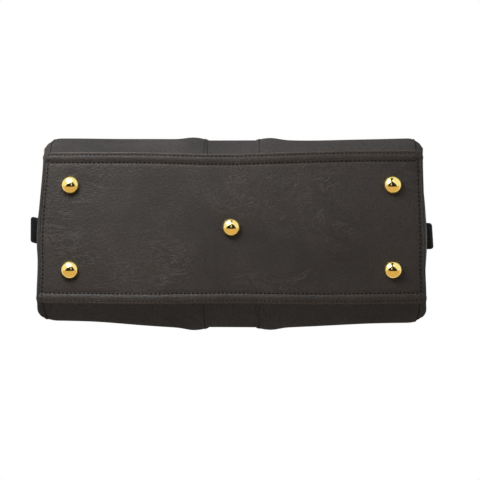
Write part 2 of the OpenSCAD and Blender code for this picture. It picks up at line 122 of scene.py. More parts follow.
class TrimShape(bpy.types.PropertyGroup):
    """Sizes of the handles, loops, stitches and small metal."""
    handle_span: length("Handle span", "Distance between a handle's ends", 124)
    handle_leg: length("Handle leg", "Length of a handle's straight ends", 22)
    grip_r: length("Grip radius", "Radius of a rolled handle", 6)
    handle_gap: length("Handle gap", "Gap between the two leaning handles", 0.8)
    ring_r: length("Ring wire", "Wire radius of a handle ring", 2)
    ring_h: length("Ring height", "Distance between a ring's two bars", 15)
    chape_w: length("Chape width", "Width of a chape", 16)
    chape_t: length("Chape leather", "Thickness of a chape", 2.5)
    chape_eye_r: length("Chape eye", "Radius of a chape's eye", 4.5)
    chape_drop: length("Chape drop", "Height of a chape's lower end below the bar", 34)
    chape_rivet_drop: length("Chape rivet", "Height of a chape's rivet below the bar", 22)
    eye_drop: length("Eye drop", "Height of a chape's eye below the bar's top", 2)
    loop_w: length("Loop width", "Width of an end loop", 24)
    loop_reach: length("Loop reach", "Distance that an end loop stands out", 25)
    loop_h: length("Loop height", "Height of an end loop", 13)
    loop_t: length("Loop leather", "Thickness of an end loop", 2.5)
    loop_foot: length("Loop foot", "Height of the sewn foot below a loop", 12)
    rivet_span: length("Rivet span", "Distance between an end loop's rivets", 13)
    rivet_head_r: length("Rivet head", "Radius of a rivet's head", 2.8)
    foot_r: length("Foot dome", "Dome radius of a foot", 7.6)
    rosette_r: length("Rosette", "Radius of the lock's rosette", 8)
    rosette_t: length("Rosette thickness", "Thickness of the rosette", 2.2)
    knob_l: length("Knob length", "Length of the turning knob", 20)
    knob_w: length("Knob width", "Width of the turning knob", 6)
    knob_t: length("Knob thickness", "Thickness of the turning knob", 5)
    stitch_pitch: length("Stitch pitch", "Distance from stitch to stitch", 3.6)
    stitch_l: length("Stitch length", "Length of a stitch", 2.4)
    stitch_w: length("Stitch width", "Width of the thread", 1.0)


class BagFinish(bpy.types.PropertyGroup):
    """Colours of the leathers, metals and cloth."""
    wall: colour("Wall leather", "Dark grey-brown pebbled leather", (0.047, 0.042, 0.040))
    base: colour("Base leather", "Slightly warmer pebbled leather", (0.042, 0.034, 0.030))
    trim: colour("Trim leather", "Black smooth leather", (0.007, 0.0067, 0.0066))
    edge_paint: colour("Edge paint", "Tan paint on the cut edges", (0.25, 0.14, 0.075))
    thread: colour("Thread", "Dark brown waxed thread", (0.017, 0.012, 0.010))
    gold: colour("Gold", "Polished gold-coloured brass", (0.94, 0.76, 0.27))
    steel: colour("Steel", "Zinc-plated steel", (0.55, 0.55, 0.57))
    lining: colour("Lining", "Warm brown twill", (0.22, 0.145, 0.085))
    board: colour("Board", "Pressed fibre board", (0.30, 0.21, 0.13))


class StudioLook(bpy.types.PropertyGroup):
    """Lamps, floor and camera."""
    backdrop: colour("Backdrop", "Colour of the floor and the background", (1.0, 1.0, 1.0))
    key: number("Key light", "Power of the soft light on the underside", 10.0)
    top: number("Top light", "Power of the soft light from above", 38.0)
    ambient: number("Ambient", "Strength of the surrounding light", 0.27)
    distance: number("Distance", "Camera distance", 1.4, unit="LENGTH")
    field: number("Field of view", "Camera's angle of view in degrees", 16.64)
    target_x: length("Target X", "Point the camera looks at, along the bag", 7.6)
    target_y: length("Target Y", "Point the camera looks at, front to back", 11.2)
    tilt: number("Tilt", "Camera's turn about the bag's length, in degrees", -3.25)
    yaw: number("Yaw", "Camera's turn about the bag's depth, in degrees", 0.61)


def shape():
    return bpy.context.scene.bag_shape


def trim():
    return bpy.context.scene.bag_trim


# ---------------------------------------------------------------- mesh tools

def smoothstep(a, b, x):
    """0 below a, 1 above b, and a smooth S between."""
    t = np.clip((x - a) / (b - a), 0, 1)
    return t * t * (3 - 2 * t)


def unit(v):
    return v / np.maximum(np.linalg.norm(v, axis=-1, keepdims=True), 1e-12)


def grid_faces(rows, cols, offset=0, close_rows=False, close_cols=False):
    """Quads of a rows x cols grid of vertices numbered row by row, wrapped round where asked."""
    i = np.arange(rows if close_rows else rows - 1)
    j = np.arange(cols if close_cols else cols - 1)
    i, j = (a.ravel() for a in np.meshgrid(i, j, indexing="ij"))
    down, right = (i + 1) % rows, (j + 1) % cols
    return np.stack([i * cols + j, i * cols + right, down * cols + right, down * cols + j], 1) + offset


def edge_steps(a, b, count, rim):
    """Places from a to b: even in the middle, and crowded within rim of both ends, for a round edge."""
    lead = np.array([0.0, 0.04, 0.15, 0.35, 0.65]) * rim
    return np.concatenate([a + lead, np.linspace(a + rim, b - rim, count), (b - lead)[::-1]])


def round_rim(distance, thickness):
    """Half thickness at a distance from the edge: a quarter circle over the first half thickness."""
    r = thickness / 2
    return r * np.sqrt(np.clip(1 - (1 - np.clip(distance / r, 0, 1)) ** 2, 0, 1))


def rim_distance(*grids):
    """Distance of each point of a patch from its nearest side, along each of the given places."""
    return np.minimum.reduce([np.minimum(g - g.min(), g.max() - g) for g in grids])


def surface_normals(p):
    """Unit normals of a grid of points, from its two directions' differences."""
    return unit(np.cross(np.gradient(p, axis=0), np.gradient(p, axis=1)))


def slab_part(middle, half, relief=None, outward=None):
    """A closed sheet: the middle surface plus and minus its half thickness along the normal, which is 0 all
    round the rim, so that both faces meet there. Relief moves the outer face alone."""
    normal = surface_normals(middle)
    if outward is not None and np.sum(normal * outward) < 0:
        normal = -normal
    relief = np.zeros(half.shape) if relief is None else relief * (half > 0)
    outer = middle + normal * (half + relief)[..., None]
    inner = middle - normal * half[..., None]
    rows, cols = half.shape
    faces = grid_faces(rows, cols)
    du, dv = np.gradient(middle, axis=0), np.gradient(middle, axis=1)
    forward = np.sum(np.cross(dv, du) * normal) > 0
    top = faces if forward else faces[:, ::-1]
    bottom = (faces[:, ::-1] if forward else faces) + rows * cols
    ring = np.concatenate([np.arange(cols), np.arange(1, rows) * cols + cols - 1,
                           (rows - 1) * cols + np.arange(cols - 1)[::-1], np.arange(rows - 2, 0, -1) * cols])
    faces = np.concatenate([top, bottom])
    same = np.arange(2 * rows * cols)
    same[ring + rows * cols] = ring
    return np.concatenate([outer.reshape(-1, 3), inner.reshape(-1, 3)]), same[faces]


def sweep_part(path, profile, side, closed=False):
    """A closed profile of (across, up) points carried along a path. Across follows side made square to the
    path, and up is square to both. Open ends are closed by a fan."""
    path, profile = np.asarray(path, float), np.asarray(profile, float)
    if closed:
        tangent = unit(np.roll(path, -1, 0) - np.roll(path, 1, 0))
    else:
        tangent = unit(np.gradient(path, axis=0))
    across = np.broadcast_to(np.asarray(side, float), path.shape)
    across = unit(across - tangent * np.sum(across * tangent, 1, keepdims=True))
    up = np.cross(tangent, across)
    if profile.ndim == 2:
        profile = np.broadcast_to(profile, (len(path),) + profile.shape)
    verts = path[:, None] + profile[..., :1] * across[:, None] + profile[..., 1:] * up[:, None]
    rows, cols = verts.shape[:2]
    faces = list(grid_faces(rows, cols, close_rows=closed, close_cols=True))
    verts = verts.reshape(-1, 3)
    if not closed:
        centres = np.stack([verts[:cols].mean(0), verts[-cols:].mean(0)])
        j = np.arange(cols)
        nxt = (j + 1) % cols
        last = (rows - 1) * cols
        n = len(verts)
        verts = np.concatenate([verts, centres])
        faces += [tuple(f) for f in np.stack([nxt, j, np.full(cols, n)], 1)]
        faces += [tuple(f) for f in np.stack([last + j, last + nxt, np.full(cols, n + 1)], 1)]
    return verts, faces


def turned(profile, centre, axis, segments):
    """Vertices of (radius, height) points turned about an axis through centre, row by row."""
    axis = unit(np.asarray(axis, float))
    a = unit(np.cross(axis, [0.3, 0.5, 0.81]))
    b = np.cross(axis, a)
    turn = np.linspace(0, 2 * np.pi, segments, endpoint=False)
    ring = np.cos(turn)[:, None] * a + np.sin(turn)[:, None] * b
    verts = np.asarray(centre, float) + profile[:, None, :1] * ring[None] + profile[:, None, 1:] * axis
    return verts.reshape(-1, 3)


def lathe_part(profile, centre, axis, segments=40):
    """(radius, height) points turned about an axis through centre. The first and last radius are 0."""
    profile = np.asarray(profile, float)
    verts = turned(profile[1:-1], centre, axis, segments)
    rows, n = len(profile) - 2, len(verts)
    ends = np.asarray(centre, float) + profile[[0, -1], 1][:, None] * unit(np.asarray(axis, float))
    faces = [tuple(f) for f in grid_faces(rows, segments, close_cols=True)]
    j = np.arange(segments)
    nxt = (j + 1) % segments
    last = (rows - 1) * segments
    faces += [tuple(f) for f in np.stack([nxt, j, np.full(segments, n)], 1)]
    faces += [tuple(f) for f in np.stack([last + j, last + nxt, np.full(segments, n + 1)], 1)]
    return np.concatenate([verts, ends]), faces


def round_bar(width, height, radius, steps=4):
    """Outline of a rectangle with round corners, centred, as a loop of points."""
    w, h = width / 2 - radius, height / 2 - radius
    corners = []
    for quarter, (cx, cy) in enumerate([(w, h), (-w, h), (-w, -h), (w, -h)]):
        turn = np.radians(90 * quarter + np.linspace(0, 90, steps + 1))
        corners.append(np.stack([cx + radius * np.cos(turn), cy + radius * np.sin(turn)], 1))
    return np.concatenate(corners)


def circle(radius, count=16):
    turn = np.linspace(0, 2 * np.pi, count, endpoint=False)
    return np.stack([radius * np.cos(turn), radius * np.sin(turn)], 1)


def run_length(path):
    """Distance along a path to each of its points."""
    return np.concatenate([[0], np.cumsum(np.linalg.norm(np.diff(path, axis=0), axis=1))])


def resample(path, pitch):
    """Points, tangents and shares of the whole length at an even pitch along a path."""
    path = np.asarray(path, float)
    run = run_length(path)
    count = max(2, int(run[-1] / pitch))
    at = (np.arange(count) + 0.5) * run[-1] / count
    points = np.stack([np.interp(at, run, path[:, k]) for k in range(3)], 1)
    ahead = np.stack([np.interp(at + 1e-4, run, path[:, k]) for k in range(3)], 1)
    behind = np.stack([np.interp(at - 1e-4, run, path[:, k]) for k in range(3)], 1)
    return points, unit(ahead - behind), at / run[-1]


def stitch_part(path, normal, lift=0.0):
    """A row of stitches along a path: each is a flattened, tapered bead of thread, a little askew."""
    t = trim()
    points, along, share = resample(path, t.stitch_pitch)
    normal = np.asarray(normal, float)
    if normal.ndim == 2:
        places = np.linspace(0, 1, len(normal))
        normal = np.stack([np.interp(share, places, normal[:, k]) for k in range(3)], 1)
    normal = unit(np.broadcast_to(normal, points.shape))
    across = unit(np.cross(normal, along))
    lean = 0.10
    along = unit(along + lean * across)
    across = np.cross(normal, along)
    u = np.array([-1.0, -0.82, -0.3, 0.3, 0.82, 1.0])
    width = np.array([0.0, 0.75, 1.0, 1.0, 0.75, 0.0])
    turn = np.radians([0, 60, 120, 180, 240, 300])
    bead_u = np.repeat(u[1:-1], 6)
    bead_w = np.outer(width[1:-1], np.cos(turn)).ravel()
    bead_h = np.outer(width[1:-1], np.sin(turn)).ravel()
    bead = np.stack([np.concatenate([bead_u, [-1, 1]]) * t.stitch_l / 2,
                     np.concatenate([bead_w, [0, 0]]) * t.stitch_w / 2,
                     np.concatenate([bead_h, [-0.6, -0.6]]) * t.stitch_w * 0.42], 1)
    faces = [tuple(f) for f in grid_faces(4, 6, close_cols=True)]
    faces += [((j + 1) % 6, j, 24) for j in range(6)]
    faces += [(18 + j, 18 + (j + 1) % 6, 25) for j in range(6)]
    verts = (points[:, None] + bead[None, :, :1] * along[:, None] + bead[None, :, 1:2] * across[:, None]
             + (bead[None, :, 2:] + lift) * normal[:, None])
    tri = np.array([f for f in faces if len(f) == 3])
    quad = np.array([f for f in faces if len(f) == 4])
    shift = np.arange(len(points))[:, None, None] * len(bead)
    all_faces = list((quad[None] + shift).reshape(-1, 4)) + list((tri[None] + shift).reshape(-1, 3))
    return verts.reshape(-1, 3), all_faces


def joined(parts):
    """Several parts as one list of vertices and one of faces."""
    verts, faces, offset = [], [], 0
    for v, f in parts:
        verts.append(np.asarray(v, float))
        faces += [tuple(int(i) + offset for i in face) for face in f]
        offset += len(v)
    return np.concatenate(verts), faces


def turn_outwards(bm):
    """Turns faces out of the volume that they enclose."""
    bmesh.ops.recalc_face_normals(bm, faces=bm.faces)
    if bm.calc_volume(signed=True) < 0:
        bmesh.ops.reverse_faces(bm, faces=bm.faces)


def fill_mesh(name, parts, material):
    """Makes one object at the origin from parts, with doubled points merged and faces turned outwards."""
    verts, faces = joined(parts)
    mesh = bpy.data.meshes.new(name)
    mesh.from_pydata(verts.tolist(), [], faces)
    mesh.validate()
    work = bpy.data.objects.new(name, mesh)
    bpy.context.scene.collection.objects.link(work)
    bm = bmesh.new()
    bm.from_mesh(mesh)
    loose = [v for v in bm.verts if not v.link_faces]
    bmesh.ops.delete(bm, geom=loose, context="VERTS")
    bmesh.ops.remove_doubles(bm, verts=bm.verts, dist=MERGE)
    turn_outwards(bm)
    bm.to_mesh(mesh)
    bm.free()
    mesh.polygons.foreach_set("use_smooth", np.ones(len(mesh.polygons), bool))
    mesh.materials.append(material)
    mesh.update()
    return work


# ---------------------------------------------------------------- the bag's body as formulas

BACK_FLARE = 0.0016
MIDDLE_FLARE = 0.0013
FRONT_PINCH = 0.0007


class Body:
    """Half depths and places of the bag's leather body, worked out from its sizes."""

    def __init__(self):
        s = shape()
        self.s = s
        self.wall_z = s.base_z + s.base_t
        self.foot_half = s.base_w / 2 - s.wall_inset
        self.belly_half = s.belly_w / 2
        self.top_half = s.bar_gap / 2 + s.bar_w + s.panel_t
        self.bar_top = s.frame_h + s.bar_h
        self.end = s.base_l / 2 + s.wall_over
        self.gusset_out = self.end - s.gusset_inset
        self.arc_y = self.belly_half - s.shoulder_r
        rise = s.frame_h - s.belly_h
        reach = math.hypot(self.top_half - self.arc_y, rise)
        self.slope_a = math.atan2(rise, self.top_half - self.arc_y) - math.acos(s.shoulder_r / reach)
        self.slope_y = self.arc_y + s.shoulder_r * math.cos(self.slope_a)
        self.slope_z = s.belly_h + s.shoulder_r * math.sin(self.slope_a)

    def wall_y(self, z):
        """Half depth at height z: a quarter sine from the foot to the belly, the shoulder's arc, a straight
        slope, and upright along the frame bar."""
        s = self.s
        low = self.foot_half + (self.belly_half - self.foot_half) * np.sin(
            np.pi / 2 * (z - self.wall_z) / (s.belly_h - self.wall_z))
        arc = self.arc_y + np.sqrt(np.maximum(s.shoulder_r ** 2 - (z - s.belly_h) ** 2, 0))
        slope = self.slope_y - (z - self.slope_z) * math.tan(self.slope_a)
        return np.where(z < s.belly_h, low, np.where(z < self.slope_z, arc,
                        np.where(z < s.frame_h, slope, self.top_half)))

    def roll(self, x, z):
        """How far a wall's end rolls in: a quarter round over the last stretch, strongest at the belly, and
        falling evenly to nothing along the slope, so that the gusset's edge stays straight there."""
        s = self.s
        t = np.clip((np.abs(x) - (self.end - s.corner_roll)) / s.corner_roll, 0, 1)
        drop = s.corner_roll * (1 - np.sqrt(1 - (0.93 * t) ** 2))
        low = (self.wall_y(z) - self.foot_half) / (self.belly_half - self.foot_half)
        high = np.clip((s.frame_h - z) / (s.frame_h - self.slope_z), 0, 1)
        return drop * np.where(z < s.belly_h, np.clip(low, 0, 1), high)

    def skew(self, points):
        """Draws the front left corner in, fading towards the middle, the back and the top, and flares the
        feet of the ends."""
        x, y, z = points[..., 0], points[..., 1], points[..., 2]
        pull = (smoothstep(0.10, 0.165, -x) * smoothstep(0.005, 0.066, -y)
                * (1 - smoothstep(0.05, 0.19, z)))
        end = smoothstep(0.10, 0.165, np.abs(x)) * (1 - smoothstep(0.02, 0.10, z))
        flare = BACK_FLARE * smoothstep(0.02, 0.06, y) + MIDDLE_FLARE * np.exp(-((y - 0.012) / 0.022) ** 2)
        flare = flare - FRONT_PINCH * smoothstep(0.02, 0.06, -y) * (x > 0)
        out = np.array(points, float)
        out[..., 0] += self.s.skew * pull + np.sign(x) * flare * end
        return out

    def tuck(self, x, z):
        """Places along a wall, whose ends step in at the foot to meet the base's end."""
        pull = (self.s.wall_over + 0.0008) * (1 - smoothstep(self.wall_z, 0.042, z))
        return x - np.sign(x) * pull * smoothstep(self.end - 0.012, self.end, np.abs(x))

    def edge_y(self, z):
        """Half depth of the gusset's edge, at the inner face of the wall's end."""
        return self.wall_y(z) - self.roll(self.end - self.s.gusset_inset / 2, z) - self.s.panel_t * 0.9

    def wall_bend(self, side):
        """A wall's two bodies, and the start and end of the stretch over which it passes between them."""
        return ("root", "frame_" + side), ((0, 0, self.s.fold_start), (0, 0, self.s.fold_end))

    def gusset_bend(self, side):
        """The same for a quarter of a gusset: the pleat's middle line stays with the body, and the edge
        keeps the wall's own share at each height. Both are straight lines in Y and Z, so one plane fits."""
        s = self.s
        edge = self.edge_y(np.array([s.frame_h - 0.001, s.fold_end - 0.03]))
        slope = (edge[1] - edge[0]) / (s.frame_h - 0.001 - s.fold_end + 0.03)
        span = s.fold_end - s.fold_start
        across = (s.frame_h - s.fold_start) / span / edge[0]
        gradient = np.array([0, SIDES[side] * across, slope * across + 1 / span])
        start = np.array([0, 0, s.frame_h])
        return ("root", "frame_" + side), (tuple(start), tuple(start + gradient / np.sum(gradient ** 2)))


def soft_waves(x, z, seed, size):
    """A few broad waves with fixed phases: the unevenness of hand-worked leather, of about this size."""
    rng = np.random.default_rng(seed)
    total = np.zeros(np.broadcast(x, z).shape)
    for step in range(5):
        kx, kz = rng.uniform(12, 52, 2) * (1 + 0.3 * step)
        along = np.sin(kx * x + rng.uniform(0, 6.28))
        total = total + along * np.sin(kz * z + rng.uniform(0, 6.28)) / (1 + step)
    return size * total / 1.6


# ---------------------------------------------------------------- materials

class Value:
    """A socket in a node tree that can be used in sums: each operator adds its Math node."""

    def __init__(self, tree, socket):
        self.tree, self.socket = tree, socket

    def math(self, operation, *others):
        return self.tree.node("ShaderNodeMath", {"operation": operation}, self, *others)

    def __add__(self, other):
        return self.math("ADD", other)

    def __sub__(self, other):
        return self.math("SUBTRACT", other)

    def __rsub__(self, other):
        return self.tree.node("ShaderNodeMath", {"operation": "SUBTRACT"}, other, self)

    def __mul__(self, other):
        return self.math("MULTIPLY", other)

    __radd__ = __add__
    __rmul__ = __mul__

    def above(self, low, high):
        """0 at low, 1 at high and beyond."""
        return self.tree.node("ShaderNodeMapRange", {"clamp": True, "interpolation_type": "SMOOTHSTEP"},
                              self, low, high, 0.0, 1.0)


class Tree:
    """A material's nodes, with one way to make each of them."""

    def __init__(self, name):
        self.material = bpy.data.materials.new(name)
        self.material.use_nodes = True
        self.nodes, self.links = self.material.node_tree.nodes, self.material.node_tree.links
        self.nodes.clear()
        self.place = self.node("ShaderNodeTexCoord", out="Object")

    def node(self, kind, settings=None, *values, out=0, **named):
        """Adds a node: settings first, then its sockets by place or by name, each a number or a link."""
        node = self.nodes.new(kind)
        for key, value in (settings or {}).items():
            setattr(node, key, value)
        for key, value in [*enumerate(values), *((k.replace("_", " "), v) for k, v in named.items())]:
            if value is None:
                continue
            if isinstance(value, Value):
                self.links.new(value.socket, node.inputs[key])
            else:
                node.inputs[key].default_value = value
        return Value(self, node.outputs[out]) if len(node.outputs) else None

    def noise(self, scale, detail=3.0, rough=0.5, where=None, distort=0.0):
        return self.node("ShaderNodeTexNoise", None, Vector=where or self.place, Scale=scale, Detail=detail,
                         Roughness=rough, Distortion=distort)

    def cells(self, scale, where=None, smooth=0.6):
        return self.node("ShaderNodeTexVoronoi", {"feature": "SMOOTH_F1"}, Vector=where or self.place,
                         Scale=scale, Smoothness=smooth)

    def stretched(self, scale):
        return self.node("ShaderNodeMapping", None, Vector=self.place, Scale=scale)

    def mixed(self, factor, a, b):
        """Colour a at factor 0 and colour b at factor 1."""
        node = self.nodes.new("ShaderNodeMix")
        node.data_type = "RGBA"
        for index, value in ((0, factor), (6, a), (7, b)):
            if isinstance(value, Value):
                self.links.new(value.socket, node.inputs[index])
            else:
                node.inputs[index].default_value = value if index == 0 else (*value[:3], 1.0)
        return Value(self, node.outputs[2])

    def bump(self, height, distance, strength=1.0, under=None):
        return self.node("ShaderNodeBump", None, Height=height, Distance=distance, Strength=strength,
                         Normal=under)

    def surface(self, **sockets):
        """The Principled shader and the output, which finish the material."""
        shader = self.node("ShaderNodeBsdfPrincipled", None, **sockets)
        self.node("ShaderNodeOutputMaterial", None, shader)
        return self.material


def shade(rgb, factor):
    return tuple(min(1.0, c * factor) for c in rgb)


def grained_leather(name, rgb, grain=760.0, gloss=0.46, crease=1.0, relief=0.00024, sheen=0.30):
    """Pebbled leather: smooth cells of about a millimetre under finer pores, long faint creases and broad
    changes of tone, with the pits darker and duller than the polished tops."""
    t = Tree(name)
    wander = t.node("ShaderNodeVectorMath", {"operation": "ADD"}, t.place,
                    t.node("ShaderNodeVectorMath", {"operation": "SCALE"},
                           t.node("ShaderNodeTexNoise", None, Vector=t.place, Scale=190.0, out="Color"),
                           Scale=0.0016))
    pebbles = t.cells(grain, wander)
    fine = t.cells(grain * 2.3, wander, 0.4)
    pores = t.noise(grain * 3.2, 2.0)
    broad = t.noise(11.0, 4.0, 0.55)
    blotch = t.noise(46.0, 3.0, 0.6, distort=0.6)
    folds = t.noise(1.0, 5.0, 0.62, t.stretched((34.0, 74.0, 34.0)), distort=1.4)
    crease_line = 1.0 - (folds - 0.5).math("ABSOLUTE").above(0.0, 0.028)
    crease_line = crease_line * t.noise(17.0, 2.0).above(0.46, 0.66) * crease
    pits = pebbles.above(0.32, 0.72)
    tone = t.mixed(broad.above(0.34, 0.68), shade(rgb, 0.82), shade(rgb, 1.22))
    tone = t.mixed(blotch.above(0.42, 0.74) * 0.45, tone, shade(rgb, 1.30))
    tone = t.mixed(pits * 0.55, tone, shade(rgb, 0.62))
    tone = t.mixed(crease_line * 0.30, tone, shade(rgb, 1.9))
    height = (1.0 - pebbles) * 1.0 + (1.0 - fine) * 0.28 + pores * 0.22 - crease_line * 0.55
    normal = t.bump(height, relief, 0.85, t.bump(broad + blotch * 0.5, 0.0012, 0.35))
    rough = gloss + pits * 0.14 + (blotch - 0.5) * 0.16
    return t.surface(Base_Color=tone, Roughness=rough, Normal=normal, Specular_IOR_Level=sheen)


def smooth_leather(name, rgb, gloss=0.40):
    """Smooth polished leather: fine pores, light rubbing and slow changes of gloss."""
    t = Tree(name)
    pores = t.cells(1500.0, smooth=0.5)
    rub = t.noise(60.0, 5.0, 0.65)
    tone = t.mixed(rub.above(0.52, 0.80), rgb, shade(rgb, 2.4))
    normal = t.bump((1.0 - pores) + t.noise(240.0, 3.0) * 0.8, 0.00006, 0.7)
    return t.surface(Base_Color=tone, Roughness=gloss + (rub - 0.5) * 0.25, Normal=normal,
                     Specular_IOR_Level=0.10)


def painted_edge(name, rgb):
    """Cut leather edge under uneven paint. Also makes the base's tan rim strip, which is partly a painted
    highlight.
    """
    t = Tree(name)
    streak = t.noise(1.0, 4.0, 0.6, t.stretched((120.0, 120.0, 900.0)))
    tone = t.mixed(streak.above(0.35, 0.7), shade(rgb, 0.45), rgb)
    return t.surface(Base_Color=tone, Roughness=0.5 + (streak - 0.5) * 0.3,
                     Normal=t.bump(streak, 0.0001, 0.6))


def waxed_thread(name, rgb):
    """Twisted thread: a fine slanting rib and worn, lighter tops."""
    t = Tree(name)
    twist = t.noise(2600.0, 1.0)
    tone = t.mixed(twist.above(0.4, 0.65), shade(rgb, 0.6), shade(rgb, 1.5))
    return t.surface(Base_Color=tone, Roughness=0.75 + (twist - 0.5) * 0.2,
                     Specular_IOR_Level=0.12, Normal=t.bump(twist, 0.00008, 0.6))


def polished_metal(name, rgb, rough=0.09, scratch=0.35):
    """Polished metal: even gloss, hairline scratches in changing directions and faint tarnish."""
    t = Tree(name)
    hair = t.noise(1.0, 3.0, 0.5, t.stretched((2400.0, 160.0, 160.0))).above(0.56, 0.72)
    cross = t.noise(1.0, 3.0, 0.5, t.stretched((170.0, 170.0, 2100.0))).above(0.60, 0.74)
    haze = t.noise(85.0, 4.0, 0.6)
    tone = t.mixed(haze.above(0.45, 0.85) * 0.5, rgb, shade(rgb, 0.80))
    gloss = rough + haze * 0.06 + (hair + cross) * 0.05 * scratch
    normal = t.bump(hair + cross, 0.000012, scratch)
    return t.surface(Base_Color=tone, Metallic=1.0, Roughness=gloss, Normal=normal)


def zinc_steel(name, rgb):
    """Plated steel with a crystalline bloom."""
    t = Tree(name)
    bloom = t.cells(420.0, smooth=0.1)
    tone = t.mixed(bloom.above(0.2, 0.8), shade(rgb, 0.75), shade(rgb, 1.15))
    return t.surface(Base_Color=tone, Metallic=1.0, Roughness=0.34 + bloom * 0.2,
                     Normal=t.bump(bloom, 0.00003, 0.4))


def twill(name, rgb):
    """Woven lining: diagonal ribs of thread crossed by a finer weft, with slubs."""
    t = Tree(name)
    ribs = t.node("ShaderNodeTexWave", {"wave_type": "BANDS", "bands_direction": "DIAGONAL"}, Vector=t.place,
                  Scale=330.0, Distortion=0.5, out="Fac")
    weft = t.node("ShaderNodeTexWave", {"wave_type": "BANDS", "bands_direction": "X"}, Vector=t.place,
                  Scale=620.0, Distortion=0.4, out="Fac")
    slub = t.noise(150.0, 4.0, 0.6)
    weave = ribs * 0.7 + weft * 0.3
    tone = t.mixed(weave, shade(rgb, 0.55), shade(rgb, 1.2))
    tone = t.mixed(slub.above(0.5, 0.8) * 0.5, tone, shade(rgb, 1.4))
    normal = t.bump(weave + slub * 0.4, 0.00022, 0.8)
    return t.surface(Base_Color=tone, Roughness=0.78 + (slub - 0.5) * 0.2, Normal=normal, Sheen_Weight=0.15)


def fibre_board(name, rgb):
    """Pressed board: short fibres lying every way, and specks."""
    t = Tree(name)
    fibres = t.noise(1.0, 5.0, 0.7, t.stretched((260.0, 900.0, 260.0)), distort=2.0)
    speck = t.cells(360.0, smooth=0.2).above(0.02, 0.12)
    tone = t.mixed(fibres.above(0.3, 0.7), shade(rgb, 0.7), shade(rgb, 1.25))
    tone = t.mixed(1.0 - speck, tone, shade(rgb, 0.4))
    return t.surface(Base_Color=tone, Roughness=0.85 + (fibres - 0.5) * 0.1,
                     Normal=t.bump(fibres, 0.0002, 0.6))


def make_materials():
    f = bpy.context.scene.bag_finish
    return {
        "wall": grained_leather("wall_leather", f.wall, 700.0, 0.52, 0.8, sheen=0.16),
        "base": grained_leather("base_leather", f.base, 640.0, 0.45, 1.4),
        "gusset": grained_leather("gusset_leather", shade(f.wall, 0.92), 720.0, 0.5, 0.8, sheen=0.2),
        "trim": smooth_leather("trim_leather", f.trim),
        "edge": painted_edge("edge_paint", f.edge_paint),
        # Tan edge colour at half strength: on the base's long edges it is partly the cut edge's own colour
        # and partly a painted highlight along the folded rim
        "cut": painted_edge("cut_edge_and_painted_highlight", shade(f.edge_paint, 0.5)),
        "thread": waxed_thread("waxed_thread", f.thread),
        "gold": polished_metal("polished_gold", f.gold),
        "frame": polished_metal("frame_gold", shade(f.gold, 0.94), 0.16, 0.8),
        "steel": zinc_steel("zinc_steel", f.steel),
        "lining": twill("lining_twill", f.lining),
        "board": fibre_board("fibre_board", f.board),
    }


MATERIALS = {}


def finish_of(name):
    if not MATERIALS:
        MATERIALS.update(make_materials())
    return MATERIALS[name]


def place(name, parts, finish, body=None, bend=None, stands_for=()):
    """Makes a piece, sets the slot of its finish, and joins it to one body; a piece given a bend is only
    baked where it stands and joined to no body.
    """
    piece = fill_mesh(name, parts, finish_of(finish))
    if bend:
        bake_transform(piece)
    else:
        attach(piece, body)
    if stands_for:
        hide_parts(*stands_for)
    return piece


# ---------------------------------------------------------------- walls

BELLY_PEAK = 0.0038
FRONT_SWELL = 0.0006
PANEL_DIP = 0.0018
SKIVE = 0.0006
BAND_RISE = 0.0009
WAVE = 0.00045
WAVE_SEED = {"front": 12, "back": 11}
PANEL_ROW = 0.0030
END_ROW = 0.0052
BAR_ROW = 0.0015
WALL_ROWS = 46
HEIGHT_STEPS = 58


def belly_share(body, z):
    """1 at the belly and 0 at the foot and the bar."""
    low = np.sin(np.pi / 2 * np.clip((z - body.wall_z) / (body.s.belly_h - body.wall_z), 0, 1))
    return low * (1 - smoothstep(body.s.belly_h + 0.02, body.s.frame_h - 0.02, z))


def wall_waves(side, x, z):
    """The unevenness of one wall's leather."""
    return soft_waves(x, z, WAVE_SEED[side], WAVE)


def wall_face(body, side, x, z):
    """Distance of a wall's outer face from the middle plane, at x along the bag and height z: the wall's
    formula less the rolled end, plus the sag of the leather. The back swells at the middle, the front right
    panel lies flatter, and the panels puff out beside the band."""
    s = body.s
    band = s.band_w / 2
    share = belly_share(body, z)
    y = body.wall_y(z) - body.roll(x, z)
    reach = np.clip(np.abs(x) / body.end, 0, 1)
    if side == "back":
        drawn = smoothstep(0.02, 0.13, np.abs(x)) * np.where(x < 0, 0.0040, 0.0021)
        y = y + share * (BELLY_PEAK * np.cos(np.pi / 2 * reach) ** 1.3 - drawn)
    else:
        flat = 0.35 + 0.65 * smoothstep(-0.02, 0.03, x)
        y = y + FRONT_SWELL * share - PANEL_DIP * share * np.sin(np.pi * reach) ** 2 * flat
    inside = smoothstep(0, 0.012, body.end - np.abs(x)) * smoothstep(0, 0.01, s.frame_h - z)
    y = y + wall_waves(side, x, z) * inside * (0.3 + share)
    beside = np.exp(-((np.abs(x) - band - 0.014) / 0.009) ** 2)
    return y + s.puff * beside * share - SKIVE * (1 - smoothstep(0, 0.006, np.abs(x) - band))


def stitch_groove(distance, row, width=0.0011, depth=0.00045):
    """The dent that a row of stitches pulls into leather, at a distance from its edge."""
    return -depth * np.exp(-((distance - row) / width) ** 2)


